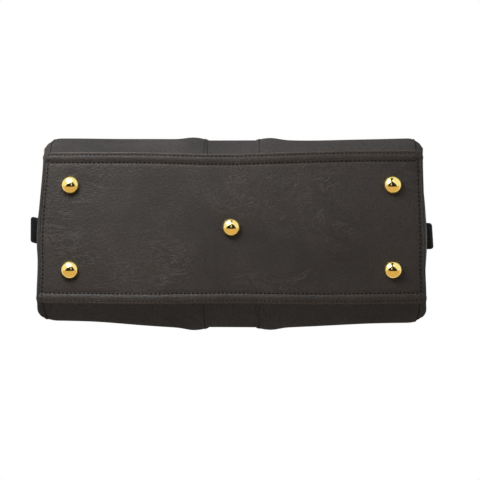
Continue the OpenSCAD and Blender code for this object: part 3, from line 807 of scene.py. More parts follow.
def wall_panel_part(body, side, end):
    """A side panel: heights by places along the bag, with a turned edge beside the band."""
    s = body.s
    sign, turn = SIDES[side], ENDS[end]
    rim = s.panel_t / 2
    x = edge_steps(s.band_w / 2, body.end, WALL_ROWS, rim)
    z = edge_steps(body.wall_z - 0.0004, body.bar_top, HEIGHT_STEPS, rim)
    gx, gz = np.meshgrid(x, z, indexing="ij")
    y = wall_face(body, side, gx * turn, gz) - s.panel_t / 2
    middle = body.skew(np.stack([body.tuck(gx * turn, gz), y * sign, gz], -1))
    inner, outer = gx - s.band_w / 2, body.end - gx
    half = round_rim(rim_distance(gx, gz), s.panel_t)
    half = half * (0.62 + 0.38 * smoothstep(0, 0.006, inner))
    relief = (stitch_groove(inner, PANEL_ROW) + stitch_groove(outer, END_ROW)
              + 0.0005 * np.exp(-((inner - 0.0012) / 0.0012) ** 2)
              + stitch_groove(body.bar_top - gz, PANEL_ROW)
              + stitch_groove(np.abs(gz - s.frame_h - BAR_ROW), 0))
    return slab_part(middle, half, relief, np.array([0, sign, 0]))


def band_part(body, side):
    """The recessed middle band, which lies under the panels' edges and steps out over the frame bar."""
    s = body.s
    sign = SIDES[side]
    rim = s.band_t / 2
    z = edge_steps(body.wall_z - 0.0004, body.bar_top, HEIGHT_STEPS, rim)
    across = np.linspace(-1, 1, 27)
    across = np.sign(across) * np.abs(across) ** 0.8
    gv, gz = np.meshgrid(across, z, indexing="ij")
    step = smoothstep(s.frame_h - 0.013, s.frame_h - 0.002, gz)
    lap = s.band_lap * (1 - smoothstep(s.frame_h - 0.018, s.frame_h - 0.013, gz))
    wide = s.band_w / 2 + lap - 0.0006 * step
    gx = gv * wide
    flat = wall_face(body, side, 0 * gx, gz) - wall_waves(side, 0 * gx, gz)
    flat = flat + SKIVE + BAND_RISE * (1 - step) * smoothstep(body.wall_z, body.wall_z + 0.02, gz)
    y = flat + soft_waves(gx, gz, 17, WAVE / 2) - s.panel_t - rim + step * s.band_t
    middle = np.stack([gx, y * sign, gz], -1)
    edge = np.minimum((1 - np.abs(gv)) * wide, rim_distance(gz))
    return slab_part(middle, round_rim(edge, s.band_t), None, np.array([0, sign, 0]))


def wall_path(body, side, x, heights):
    """Points up a wall's outer face at one place along the bag, with the face's normals."""
    z = np.linspace(*heights, 90)
    x = np.full_like(z, x)
    y = wall_face(body, side, x, z)
    path = body.skew(np.stack([body.tuck(x, z), y * SIDES[side], z], 1))
    along = unit(np.gradient(path, axis=0))
    normal = unit(np.cross(along, [1.0, 0, 0]))
    normal *= np.sign(np.sum(normal * [0, SIDES[side], 0], 1, keepdims=True))
    return path, normal


def level_path(body, side, z, x0, x1):
    """Points along a wall's outer face at one height, with the face's normal."""
    x = np.linspace(x0, x1, 120)
    z = np.full_like(x, z)
    path = body.skew(np.stack([x, wall_face(body, side, x, z) * SIDES[side], z], 1))
    return path, np.array([0, SIDES[side], 0.0])


def seam_parts(body, side, end):
    """The outward seam at a wall's end: a two-ply ridge that follows the wall's rolled edge."""
    s = body.s
    sign, turn = SIDES[side], ENDS[end]
    z = np.concatenate([np.linspace(body.wall_z - 0.0012, s.frame_h, 80), [body.bar_top]])
    y = body.wall_y(z) - body.roll(body.end, z) - 0.0020
    place = body.tuck(np.full_like(z, body.end * turn), z) - 0.0008 * turn
    path = body.skew(np.stack([place, y * sign, z], 1))
    ridge = sweep_part(path, round_bar(0.0040, 0.0040, 0.0013), [turn, 0, 0])
    path = path + [0.0018 * turn, 0, 0]
    return ridge, sweep_part(path, round_bar(0.0010, 0.0030, 0.0004), [turn, 0, 0])


class BAG_OT_walls(bpy.types.Operator):
    """Side panels and middle bands of both walls, with their seams and stitches"""
    bl_idname = "bag.walls"
    bl_label = "Walls"

    def execute(self, context):
        body = Body()
        s = body.s
        band = s.band_w / 2
        for side in SIDES:
            bend = body.wall_bend(side)
            for end in ENDS:
                place(f"{side}_{end}_wall", [wall_panel_part(body, side, end)], "wall", bend=bend,
                      stands_for=[f"{side}_panel_{end}", f"{side}_upper_panel_{end}"])
                ridge, paint = seam_parts(body, side, end)
                place(f"{side}_{end}_seam", [ridge], "gusset", bend=bend)
                place(f"{side}_{end}_seam_paint", [paint], "edge", bend=bend)
            place(f"{side}_middle_band", [band_part(body, side)], "wall", bend=bend,
                  stands_for=[f"{side}_band", f"{side}_upper_band", f"{side}_wall_fold"])
            rows = []
            for turn in ENDS.values():
                for x in (band + PANEL_ROW, body.end - END_ROW):
                    heights = (body.wall_z + 0.002, body.bar_top - 0.004)
                    path, normal = wall_path(body, side, x * turn, heights)
                    rows.append(stitch_part(path, normal))
                for z in (body.bar_top - PANEL_ROW, s.frame_h + BAR_ROW):
                    path, normal = level_path(body, side, z, (band + 0.006) * turn, (body.end - 0.008) * turn)
                    rows.append(stitch_part(path, normal))
            place(f"{side}_wall_stitches", rows, "thread", bend=bend)
        return {"FINISHED"}


# ---------------------------------------------------------------- base and feet

FRONT_DRAW = 0.0019
EDGE_ROW = 0.0023
FOOT_DENT = 0.0010
STRIP_PUFF = 0.0008
BASE_CORNER = 0.005
DOME_SLOPE = 58


def base_edges(body, x):
    """Where the base's front and back edges lie at x. The front is drawn in at the middle and the left."""
    s = body.s
    front = s.base_w / 2 - FRONT_DRAW * np.exp(-((x + 0.008) / 0.05) ** 2) - 0.0004 * smoothstep(0, 0.16, -x)
    front = front + 0.0010 * smoothstep(0.04, 0.12, x)
    back = s.base_w / 2 - 0.0004 * np.cos(x * 40)
    return -front, back


def foot_centres():
    """The five feet's centres, from the frame's own feet."""
    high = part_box("feet")[1]
    r = trim().foot_r
    x, y = high.x - r, high.y - r
    return [(0, 0), (-x, -y), (x, -y), (-x, y), (x, y)]


def base_panel_part(body):
    """The base panel: a grid whose corners are drawn round, with a padded strip along each long edge and a
    dent at each foot. Relief is measured downwards."""
    s = body.s
    rim = s.base_t / 2
    half_l = s.base_l / 2
    u = edge_steps(-half_l, half_l, 150, rim)
    v = edge_steps(-1, 1, 96, rim / (s.base_w / 2))
    gu, gv = np.meshgrid(u, v, indexing="ij")
    front, back = base_edges(body, gu)
    gy = (front + back) / 2 + gv * (back - front) / 2
    wide = (back - front) / 2
    from_side, from_end = (1 - np.abs(gv)) * wide, half_l - np.abs(gu)
    a = np.clip(1 - from_end / BASE_CORNER, 0, 1)
    b = np.clip(1 - from_side / BASE_CORNER, 0, 1)
    gx = gu - np.sign(gu) * BASE_CORNER * a * (1 - np.sqrt(1 - b * b / 2))
    gy = gy - np.sign(gv) * BASE_CORNER * b * (1 - np.sqrt(1 - a * a / 2))
    middle = body.skew(np.stack([gx, gy, np.full_like(gx, s.base_z + rim)], -1))
    half = round_rim(np.minimum(from_side, from_end), s.base_t)
    strip = s.base_strip
    arch = np.sin(np.pi * np.clip(from_side / strip, 0, 1)) ** 0.7
    puffed = np.where(from_side < strip, STRIP_PUFF * arch, 0)
    field = soft_waves(gx, gy, 5, 0.0005) * smoothstep(0.012, 0.03, np.minimum(from_side, from_end))
    relief = puffed + field + stitch_groove(from_side, EDGE_ROW)
    relief = relief + stitch_groove(from_side, strip, 0.0013, 0.0006)
    relief = relief + 0.0005 * np.exp(-((from_side - 0.0010) / 0.0007) ** 2)
    relief = relief + stitch_groove(from_end, s.end_strip + 0.0014)
    for x, y in foot_centres():
        relief = relief - FOOT_DENT * np.exp(-((gx - x) ** 2 + (gy - y) ** 2) / 0.0100 ** 2)
    return slab_part(middle, half, relief, np.array([0, 0, -1]))


def base_row(body, inset, sign):
    """A stitch row along a long edge, at an inset from it."""
    s = body.s
    x = np.linspace(-s.base_l / 2 + 0.006, s.base_l / 2 - 0.006, 200)
    front, back = base_edges(body, x)
    y = back - inset if sign > 0 else front + inset
    drop = 0.00025 if inset < s.base_strip / 2 else 0.0
    return body.skew(np.stack([x, y, np.full_like(x, s.base_z - drop + 0.0001)], 1))


class BAG_OT_base(bpy.types.Operator):
    """Base panel with its padded edge strips, bound ends and stitch rows, and the five domed feet"""
    bl_idname = "bag.base"
    bl_label = "Base and feet"

    def execute(self, context):
        body = Body()
        s = body.s
        place("base_leather", [base_panel_part(body)], "base", "root", stands_for=["base_panel"])
        down = np.array([0, 0, -1.0])
        rows = [stitch_part(base_row(body, inset, sign), down, 0.0001)
                for sign in (-1, 1) for inset in (EDGE_ROW, s.base_strip)]
        binding = []
        for turn in ENDS.values():
            front, back = base_edges(body, np.array([turn * s.base_l / 2]))
            y = np.linspace(front[0] + 0.0015, back[0] - 0.0015, 70)
            x = np.full_like(y, turn * (s.base_l / 2 - s.end_strip - 0.0014))
            z = np.full_like(y, s.base_z)
            row = body.skew(np.stack([x, y, z], 1))
            rows.append(stitch_part(row, down, 0.0002))
            x = np.full_like(y, turn * (s.base_l / 2 - s.end_strip / 2 + 0.0004))
            path = body.skew(np.stack([x, y, z + 0.0012], 1))
            size = np.ones(len(y))
            size[[0, -1]], size[[1, -2]] = 0.55, 0.9
            profile = round_bar(s.end_strip, 0.0036, 0.0013)[None] * size[:, None, None]
            binding.append(sweep_part(path, profile, [1.0, 0, 0]))
        place("base_stitches", rows, "thread", "root")
        # A thin tan strip just inside each long edge of the base: partly the cut edge's own colour, partly a
        # painted highlight where the folded rim catches the light
        cut_edge_and_highlight_strips = [sweep_part(base_row(body, 0.0008, sign), round_bar(0.0009, 0.0007, 0.0003, 2), [0, 1.0, 0])
               for sign in (-1, 1)]
        place("base_cut_edges_and_painted_highlight", cut_edge_and_highlight_strips, "cut", "root")
        place("base_end_binding", binding, "gusset", "root")
        r = trim().foot_r
        slope = math.radians(DOME_SLOPE)
        cap_r = r / math.sin(slope)
        cap_h = cap_r * (1 - math.cos(slope))
        tilt = np.linspace(slope * 0.985, math.radians(1.2), 26)
        dome = np.stack([cap_r * np.sin(tilt), s.base_z - cap_r * (1 - np.cos(tilt))], 1)
        collar = [[0, -0.0006], [r * 0.96, -0.0006], [r * 0.98, 0.0002], [r * 0.995, 0.0010],
                  [r, s.base_z - cap_h - 0.0004]]
        profile = np.concatenate([collar, dome, [[0, s.base_z]]])
        feet = [lathe_part(profile, (x, y, s.base_z), down, 56) for x, y in foot_centres()]
        place("domed_feet", feet, "gold", "root", stands_for=["feet"])
        return {"FINISHED"}


# ---------------------------------------------------------------- gussets

PEAK_Z = 0.160
YOKE_Z = 0.112
YOKE_ROW = 0.0026


def yoke_crest(share):
    """Height of the fixed gusset's top edge at a share of its half depth: the yoke line and its peak."""
    return YOKE_Z + (PEAK_Z - YOKE_Z) * (1 - smoothstep(0.15, 0.31, share))


def gusset_x(body, share, z):
    """Place of a gusset's outer face: swollen below, drawn in towards the mouth, turned out at its rim."""
    s = body.s
    rise = np.clip((z - body.wall_z) / (YOKE_Z - 0.002 - body.wall_z), 0, 1)
    swell = s.gusset_bulge * np.sin(np.pi * rise ** 0.72) * (1 - share ** 2) ** 0.8
    pleat = s.pleat * (1 - share) ** 1.15 * smoothstep(PEAK_Z, s.frame_h, z) ** 0.9
    rim = (s.gusset_inset - 0.0012) * smoothstep(0.93, 1.0, share)
    foot = (s.gusset_inset - 0.0035) * (1 - smoothstep(0, 0.006, z - body.wall_z))
    return body.gusset_out + swell - pleat + np.maximum(rim, foot)


def lower_gusset_part(body, turn):
    """The fixed gusset up to the yoke line, with a peak at the middle that holds the hinge and the loop."""
    s = body.s
    v = edge_steps(-1, 1, 61, 0.014)
    w = edge_steps(0, 1, 40, 0.010)
    gv, gw = np.meshgrid(v, w, indexing="ij")
    crest = yoke_crest(np.abs(gv))
    z = body.wall_z + gw * (crest - body.wall_z)
    y = gv * body.edge_y(np.minimum(z, YOKE_Z))
    share = np.abs(gv)
    waves = soft_waves(y, z, 23, 0.0004) * (1 - share ** 4) * smoothstep(0.115, 0.09, z)
    x = gusset_x(body, share, z) + waves
    middle = body.skew(np.stack([(x - s.gusset_t / 2) * turn, y, z], -1))
    edge = np.minimum((1 - share) * 0.076, np.minimum(gw, 1 - gw) * (crest - body.wall_z))
    relief = stitch_groove((1 - gw) * (crest - body.wall_z), YOKE_ROW)
    return slab_part(middle, round_rim(edge, s.gusset_t), relief, np.array([turn, 0, 0]))


def gusset_wing_part(body, side, turn):
    """An upper quarter of a gusset: tucked behind the yoke, folding inwards to the pleat's middle line."""
    s = body.s
    v = edge_steps(0, 1, 26, 0.022)
    z = edge_steps(YOKE_Z - 0.008, s.frame_h, 44, s.gusset_t / 2)
    gv, gz = np.meshgrid(v, z, indexing="ij")
    y = gv * body.edge_y(gz)
    tuck = 0.0023 * (1 - smoothstep(0.93, 0.99, gv))
    x = gusset_x(body, gv, gz) - tuck
    middle = np.stack([(x - s.gusset_t / 2) * turn, y * SIDES[side], gz], -1)
    rim = round_rim(np.minimum(rim_distance(gz), np.minimum(gv, 1 - gv) * 0.05 + 1e-9), s.gusset_t)
    return slab_part(middle, rim * (gv > 0) * (gv < 1), None, np.array([turn, 0, 0]))


class BAG_OT_gussets(bpy.types.Operator):
    """Fixed lower gussets with their hinge peaks, and the four upper quarters, drawn as they lie with the
    mouth closed
    """
    bl_idname = "bag.gussets"
    bl_label = "Gussets"

    def execute(self, context):
        body = Body()
        for end, turn in ENDS.items():
            place(f"{end}_gusset", [lower_gusset_part(body, turn)], "gusset", "root",
                  stands_for=[f"gusset_{end}"])
            v = np.linspace(-0.93, 0.93, 220)
            crest = yoke_crest(np.abs(v)) - YOKE_ROW
            y = v * body.edge_y(np.minimum(crest, YOKE_Z))
            x = gusset_x(body, np.abs(v), crest) * turn
            row = stitch_part(body.skew(np.stack([x, y, crest], 1)), np.array([turn, 0, 0.0]))
            place(f"{end}_gusset_stitches", [row], "thread", "root")
            for side in SIDES:
                place(f"{side}_{end}_gusset_wing", [gusset_wing_part(body, side, turn)], "gusset",
                      bend=body.gusset_bend(side), stands_for=[f"gusset_wing_{side}_{end}"])
        return {"FINISHED"}


# ---------------------------------------------------------------- lining

def tub_section(body, depth):
    """The tub lining's section, from the back edge down, across the bottom and up to the front edge."""
    s = body.s
    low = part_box("lining")[0].z
    z = np.linspace(s.lining_h, low + 0.004, 34)
    y = body.wall_y(z) - depth
    turn = np.radians(np.linspace(0, 90, 7))[1:]
    corner = np.stack([y[-1] - 0.004 * (1 - np.cos(turn)), z[-1] - 0.004 * np.sin(turn)], 1)
    floor = np.linspace(corner[-1, 0], 0, 24)[1:]
    half = np.concatenate([np.stack([y, z], 1), corner, np.stack([floor, np.full_like(floor, low)], 1)])
    return np.concatenate([half, half[-2::-1] * [-1, 1]])


class BAG_OT_lining(bpy.types.Operator):
    """Tub lining, inner pocket and the linings of the upper walls"""
    bl_idname = "bag.lining"
    bl_label = "Lining"

    def execute(self, context):
        body = Body()
        s = body.s
        depth = s.panel_t + s.band_t + 0.0009
        section = tub_section(body, depth)
        reach = body.gusset_out - s.gusset_t - 0.0006
        x = edge_steps(-reach, reach, 60, s.lining_t / 2)
        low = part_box("lining")[0]
        roll = body.roll(x[:, None] / reach * (body.end - 0.001), section[None, :, 1])
        y = section[None, :, 0] - np.sign(section[None, :, 0]) * np.minimum(roll, np.abs(section[None, :, 0]))
        middle = np.stack([np.broadcast_to(x[:, None], y.shape), y,
                           np.broadcast_to(section[None, :, 1], y.shape)], -1)
        middle[..., 2] += s.lining_t / 2
        half = np.full(y.shape, s.lining_t / 2)
        half[[0, -1]], half[:, [0, -1]] = 0, 0
        parts = [slab_part(body.skew(middle), half)]
        for turn in (-1, 1):
            z = edge_steps(low.z + 0.0016, s.lining_h, 30, s.lining_t / 2)
            v = edge_steps(-1, 1, 50, 0.01)
            gv, gz = np.meshgrid(v, z, indexing="ij")
            y = gv * (body.edge_y(gz) - s.band_t - 0.0012)
            gx = np.full_like(gv, (reach - s.lining_t) * turn)
            half = round_rim(np.minimum((1 - np.abs(gv)) * 0.07, rim_distance(gz)), s.lining_t)
            parts.append(slab_part(body.skew(np.stack([gx, y, gz], -1)), half))
        place("tub_lining", parts, "lining", "root", stands_for=["lining"])

        low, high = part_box("inner_pocket")
        x = edge_steps(low.x, high.x, 40, 0.0008)
        z = edge_steps(low.z, high.z, 24, 0.0008)
        gx, gz = np.meshgrid(x, z, indexing="ij")
        sag = 0.0016 * smoothstep(low.z, high.z, gz) * np.cos(np.pi * gx / (high.x - low.x)) ** 2
        y = body.wall_y(gz) - depth - s.lining_t - 0.0008 - sag
        hem = 0.0005 * smoothstep(high.z - 0.009, high.z - 0.008, gz)
        half = round_rim(rim_distance(gx, gz), 0.0016)
        pocket = slab_part(np.stack([gx, y, gz], -1), half, hem, np.array([0, -1.0, 0]))
        place("slip_pocket", [pocket], "lining", "root", stands_for=["inner_pocket"])

        for side, sign in SIDES.items():
            x = edge_steps(-reach + 0.001, reach - 0.001, 50, s.lining_t / 2)
            z = edge_steps(s.lining_h - 0.006, s.frame_h - 0.0006, 40, s.lining_t / 2)
            gx, gz = np.meshgrid(x, z, indexing="ij")
            y = body.wall_y(gz) - depth - 0.0004 - body.roll(gx / reach * (body.end - 0.001), gz)
            y = y - s.lining_t * (1 - smoothstep(s.lining_h, s.lining_h + 0.008, gz))
            half = round_rim(rim_distance(gx, gz), s.lining_t)
            part = slab_part(np.stack([gx, y * sign, gz], -1), half, None, np.array([0, sign, 0]))
            place(f"{side}_wall_lining", [part], "lining", bend=body.wall_bend(side),
                  stands_for=[f"{side}_upper_lining"])
        return {"FINISHED"}


# ---------------------------------------------------------------- frame and hinges

LEG_GAP = 0.001
LEG_T = 0.003
EYE_R = 0.008
PIN_R = 0.0025


def leg_places(body, side):
    """Inner and outer place of a frame half's legs, and the bar's end. The back's legs stand outside."""
    inner = body.gusset_out + LEG_GAP
    outer_set = inner + LEG_T + LEG_GAP
    start = inner if side == "front" else outer_set
    return start, start + LEG_T, outer_set + LEG_T


def plate_part(outline, x0, x1, rim):
    """A flat plate between two places along the bag, from its outline in depth and height."""
    outline = np.asarray(outline, float)
    ahead = unit(np.roll(outline, -1, 0) - outline)
    behind = unit(outline - np.roll(outline, 1, 0))
    along = unit(ahead + behind)
    inward = np.stack([-along[:, 1], along[:, 0]], 1)
    near = rim * 0.3
    steps = [(x0, rim), (x0 + near, near), (x0 + rim, 0), (x1 - rim, 0), (x1 - near, near), (x1, rim)]
    verts = [np.column_stack([np.full(len(outline), x), outline + inward * inset]) for x, inset in steps]
    count = len(outline)
    faces = [tuple(f) for f in grid_faces(len(steps), count, close_cols=True)]
    last = (len(steps) - 1) * count
    return np.concatenate(verts), faces + [tuple(range(count))[::-1], tuple(last + j for j in range(count))]


def ring_part(profile, centre, axis, segments=48):
    """A ring: a closed loop of (radius, height) points turned about an axis."""
    profile = np.asarray(profile, float)
    faces = grid_faces(len(profile), segments, close_rows=True, close_cols=True)
    return turned(profile, centre, axis, segments), [tuple(f) for f in faces]


def ring_section(r0, r1, h0, h1, rim):
    """The section of a flat ring with eased edges, as a loop of (radius, height) points."""
    loop = round_bar(r1 - r0, h1 - h0, rim, 3)
    return loop + [(r0 + r1) / 2, (h0 + h1) / 2]


def mirrored(part, sign):
    """Turns a part over to the front (sign -1) or leaves it at the back."""
    verts, faces = part
    return np.asarray(verts) * [1, sign, 1], faces


class BAG_OT_frame(bpy.types.Operator):
    """Frame halves with their legs and hinge eyes, and the leather bound over the bars"""
    bl_idname = "bag.frame"
    bl_label = "Mouth frame"

    def execute(self, context):
        body = Body()
        s = body.s
        y0, y1 = s.bar_gap / 2, s.bar_gap / 2 + s.bar_w
        for side, sign in SIDES.items():
            leg_in, leg_out, bar_end = leg_places(body, side)
            half = bar_end - np.array([0, 0.0004, 0.0015])
            x = np.concatenate([-half, [0], half[::-1]])
            path = np.stack([x, np.full_like(x, (y0 + y1) / 2), np.full_like(x, s.frame_h + s.bar_h / 2)], 1)
            size = np.array([0.0015, 0.0004, 0, 0, 0, 0.0004, 0.0015])
            profile = np.stack([round_bar(s.bar_w - 2 * e, s.bar_h - 2 * e, 0.0016) for e in size])
            parts = [sweep_part(path, profile, [0, 1.0, 0])]
            h = s.hinge_h
            turn = np.radians(np.linspace(20, 88, 8))
            arc = np.stack([y1 - 0.009 + 0.009 * np.sin(turn), h + 0.016 - 0.009 * np.cos(turn)], 1)
            outline = np.concatenate([[[y0, h + 0.0062], [0.0045, h + 0.0046]], arc,
                                      [[y1, s.frame_h + 0.001], [y0, s.frame_h + 0.001]]])
            for turn_x in ENDS.values():
                a, b = sorted([leg_in * turn_x, leg_out * turn_x])
                parts.append(plate_part(outline, a, b, 0.0007))
                section = ring_section(PIN_R + 0.0001, EYE_R, 0, LEG_T, 0.0006)
                parts.append(ring_part(section, (leg_in * turn_x, 0, h), [turn_x, 0, 0]))
            place(f"{side}_frame_half", [mirrored(p, sign) for p in parts], "frame", "frame_" + side,
                  stands_for=["frame_" + side])

            wide = s.bar_w + s.panel_t
            path = path.copy()
            path[:, 1] = y0 + wide / 2
            path[:, 2] = body.bar_top + s.binding_t / 2
            profile = np.stack([round_bar(wide - e, s.binding_t - e, 0.0009) for e in size * 0.8])
            strip = sweep_part(path, profile, [0, 1.0, 0])
            rows = []
            top = body.bar_top + s.binding_t + 0.0001
            for y in (y0 + 0.0022, y0 + wide - 0.0022):
                row = np.array([[-bar_end + 0.003, y * sign, top], [bar_end - 0.003, y * sign, top]])
                rows.append(stitch_part(row, [0, 0, 1.0]))
            place(f"{side}_bar_binding", [mirrored(strip, sign)], "gusset", "frame_" + side,
                  stands_for=[f"{side}_binding"])
            place(f"{side}_binding_stitches", rows, "thread", "frame_" + side)
        washers = []
        head_r, head_t = 0.005, 0.002
        inner = body.gusset_out - s.gusset_t - 0.0015
        outer = leg_places(body, "back")[1]
        for end, turn_x in ENDS.items():
            profile = [[0, inner - head_t], [head_r - 0.0008, inner - head_t],
                       [head_r, inner - head_t + 0.0008], [head_r, inner],
                       [PIN_R, inner], [PIN_R, outer + 0.0001],
                       [head_r, outer + 0.0001], [head_r, outer + 0.0008],
                       [head_r * 0.86, outer + 0.0015], [head_r * 0.5, outer + 0.0020], [0, outer + 0.0021]]
            pin = lathe_part(profile, (0, 0, s.hinge_h), [turn_x, 0, 0])
            place(f"hinge_pin_{end}_turned", [pin], "gold", "root", stands_for=[f"hinge_pin_{end}"])
            for x in (body.gusset_out, body.gusset_out + LEG_GAP + LEG_T):
                section = ring_section(PIN_R + 0.0001, head_r, x + 0.00008, x + LEG_GAP - 0.00008, 0.0003)
                washers.append(ring_part(section, (0, 0, s.hinge_h), [turn_x, 0, 0]))
        place("hinge_spacers", washers, "gold", "root", stands_for=["hinge_washers"])
        return {"FINISHED"}


# ---------------------------------------------------------------- handles and chapes

def handle_pivot(body):
    """The depth and height of a handle's pivot, and the handles' lean at rest."""
    t = trim()
    y = body.top_half + t.chape_eye_r
    z = body.bar_top - t.eye_drop
    arch = t.ring_h + t.handle_leg + t.handle_span / 2
    return y, z, math.asin((y - t.grip_r - t.handle_gap / 2) / arch)


def on_pivot(body, sign, part):
    """Leans a part drawn upright on its pivot, moves it there, and turns it over for the front."""
    y, z, lean = handle_pivot(body)
    verts, faces = part
    verts = np.asarray(verts, float)
    c, s = math.cos(lean), math.sin(lean)
    along, deep, high = verts.T
    out = np.stack([along, y + c * deep - s * high, z + s * deep + c * high], 1)
    return out * [1, sign, 1], faces


def arch_path(span, low, high, steps=72):
    """Up one leg, over a half circle and down the other leg, in the XZ plane."""
    leg = np.linspace(low, high, 16)[:-1]
    r = span / 2
    turn = np.linspace(np.pi, 0, steps)
    left = np.stack([np.full_like(leg, -r), 0 * leg, leg], 1)
    arc = np.stack([r * np.cos(turn), 0 * turn, high + r * np.sin(turn)], 1)
    return np.concatenate([left, arc, left[::-1] * [-1, 1, 1]])


def rounded_loop(half_w, height, r):
    """A rectangle from height 0 up, with round corners, as a closed path in the XZ plane."""
    parts = []
    corners = [(half_w - r, height - r), (r - half_w, height - r), (r - half_w, r), (half_w - r, r)]
    for quarter, (x, z) in enumerate(corners):
        turn = np.radians(90 * quarter + np.linspace(0, 90, 7))
        parts.append(np.stack([x + r * np.cos(turn), 0 * turn, z + r * np.sin(turn)], 1))
        nx, nz = corners[(quarter + 1) % 4]
        middle = [(x + nx) / 2 + r * np.cos(turn[-1]), 0, (z + nz) / 2 + r * np.sin(turn[-1])]
        parts.append(np.array([middle]))
    return np.concatenate(parts)


def handle_parts():
    """The rolled grip, which flattens into strap ends round the rings, with its seam and the end collars."""
    t = trim()
    low, high = t.ring_h + 0.003, t.ring_h + t.handle_leg
    path = arch_path(t.handle_span, low, high)
    run = run_length(path)
    from_end = np.minimum(run, run[-1] - run)
    share = smoothstep(0.002, 0.017, from_end)[:, None, None]
    flat = round_bar(0.0072, t.chape_w, 0.0035, 6)
    grip = round_bar(t.grip_r * 2, t.grip_r * 2, t.grip_r - 1e-5, 6)
    wave = 1 + 0.012 * np.sin(run * 160) * np.sin(run * 47)
    profile = (flat[None] * (1 - share) + grip[None] * share) * wave[:, None, None]
    leather = [sweep_part(path, profile, [0, 1.0, 0])]
    for sign in (-1, 1):
        x = sign * t.handle_span / 2
        eye = ring_section(t.ring_r + 0.0001, 0.0050, -t.chape_w / 2, t.chape_w / 2, 0.0012)
        leather.append(ring_part(eye, (x, 0, t.ring_h), [1.0, 0, 0], 40))
        for rise, grow in ((0.0065, 0.0013), (0.0185, 0.0009)):
            index = int(np.argmin(np.abs(path[:, 2] - low - rise) + 10 * np.abs(path[:, 0] - x)))
            outline = profile[index]
            size = 1 + grow / np.abs(outline).max()
            heights = low + rise + np.array([-0.002, -0.0012, 0.0012, 0.002])
            route = np.stack([np.full(4, x), np.zeros(4), heights], 1)
            sections = np.stack([outline * 0.98, outline * size, outline * size, outline * 0.98])
            collar = sweep_part(route, sections, [0, 1.0, 0])
            leather.append(collar)
    inside = arch_path(t.handle_span - 2 * (t.grip_r - 0.0006), low + 0.017, high)
    seam = sweep_part(inside, round_bar(0.0030, 0.0022, 0.0009), [0, 1.0, 0])
    centre = np.array([0, 0, high])
    inner = arch_path(t.handle_span - 2 * (t.grip_r + 0.0006), low + 0.018, high)
    normal = np.where(inner[:, 2:3] < high, np.sign(-inner[:, :1]) * [1.0, 0, 0], unit(centre - inner))
    return leather + [seam], stitch_part(inner, normal)


def chape_path(body):
    """The strap's middle line: up the wall, over the ring's lower bar and back in under it."""
    s, t = body.s, trim()
    eye_y, eye_z = handle_pivot(body)[:2]
    z = np.linspace(s.frame_h - t.chape_drop, s.frame_h - 0.001, 26)
    half = t.chape_t / 2
    slope = np.stack([0 * z, body.wall_y(z) + half * 1.02 + 0.0002, z], 1)
    r = t.ring_r + 0.0001 + half * 0.92
    up = np.linspace(s.frame_h + 0.0015, eye_z - 0.002, 8)
    upright = np.stack([0 * up, np.linspace(slope[-1, 1], eye_y - r, 8), up], 1)
    turn = np.radians(np.linspace(172, -128, 34))
    curl = np.stack([0 * turn, eye_y + r * np.cos(turn), eye_z + r * np.sin(turn)], 1)
    return np.concatenate([slope, upright, curl])


def chape_parts(body):
    """Both chapes of a side, their stitches and their domed rivets, drawn for the back."""
    t = trim()
    path = chape_path(body)
    run = run_length(path)
    width = np.full(len(run), t.chape_w / 2)
    nose = t.chape_w / 2
    near = run < nose
    width[near] = np.sqrt(np.maximum(nose ** 2 - (nose - run[near]) ** 2, (0.16 * nose) ** 2))
    thick = np.full(len(run), t.chape_t * 0.94)
    thick[0], thick[1] = t.chape_t * 0.5, t.chape_t * 0.8
    profile = np.stack([round_bar(2 * w, h, min(0.0011, h * 0.45), 4) for w, h in zip(width, thick)])
    slope_len = int(np.sum(path[:, 2] < body.s.frame_h) * 0.98)
    along = unit(np.gradient(path, axis=0))
    normal = np.cross([1.0, 0, 0], along)
    normal *= np.sign(normal[:, 1:2] + 1e-9)
    straps, rows, rivets = [], [], []
    for sign in (-1, 1):
        shift = np.array([sign * t.handle_span / 2, 0, 0])
        straps.append(sweep_part(path + shift, profile, [1.0, 0, 0]))
        face = path[:slope_len] + normal[:slope_len] * t.chape_t * 0.48
        for edge in (-1, 1):
            inset = np.maximum(width[:slope_len] - 0.0020, 0.001)
            row = face + shift + np.stack([edge * inset, 0 * inset, 0 * inset], 1)
            rows.append(stitch_part(row[1:], normal[1:slope_len]))
        level = face[-1] + shift
        across = np.array([level - [nose - 0.003, 0, 0], level + [nose - 0.003, 0, 0]])
        rows.append(stitch_part(across, normal[slope_len - 1]))
        z = body.s.frame_h - t.chape_rivet_drop
        index = int(np.argmin(np.abs(path[:slope_len, 2] - z)))
        head = dome_profile(t.rivet_head_r, RIVET_HEAD_H)
        rivets.append(lathe_part(head, face[index] + shift - normal[index] * 0.0002, normal[index], 32))
    return straps, rows, rivets


def dome_profile(radius, height):
    """A low domed head with a rolled edge, from its foot to its crown."""
    rise = np.radians(np.linspace(0, 86, 9))
    dome = np.stack([radius * np.cos(rise) ** 0.8, height * (0.28 + 0.72 * np.sin(rise))], 1)
    return np.concatenate([[[0, -0.0004], [radius * 0.96, -0.0004], [radius, 0]], dome, [[0, height]]])


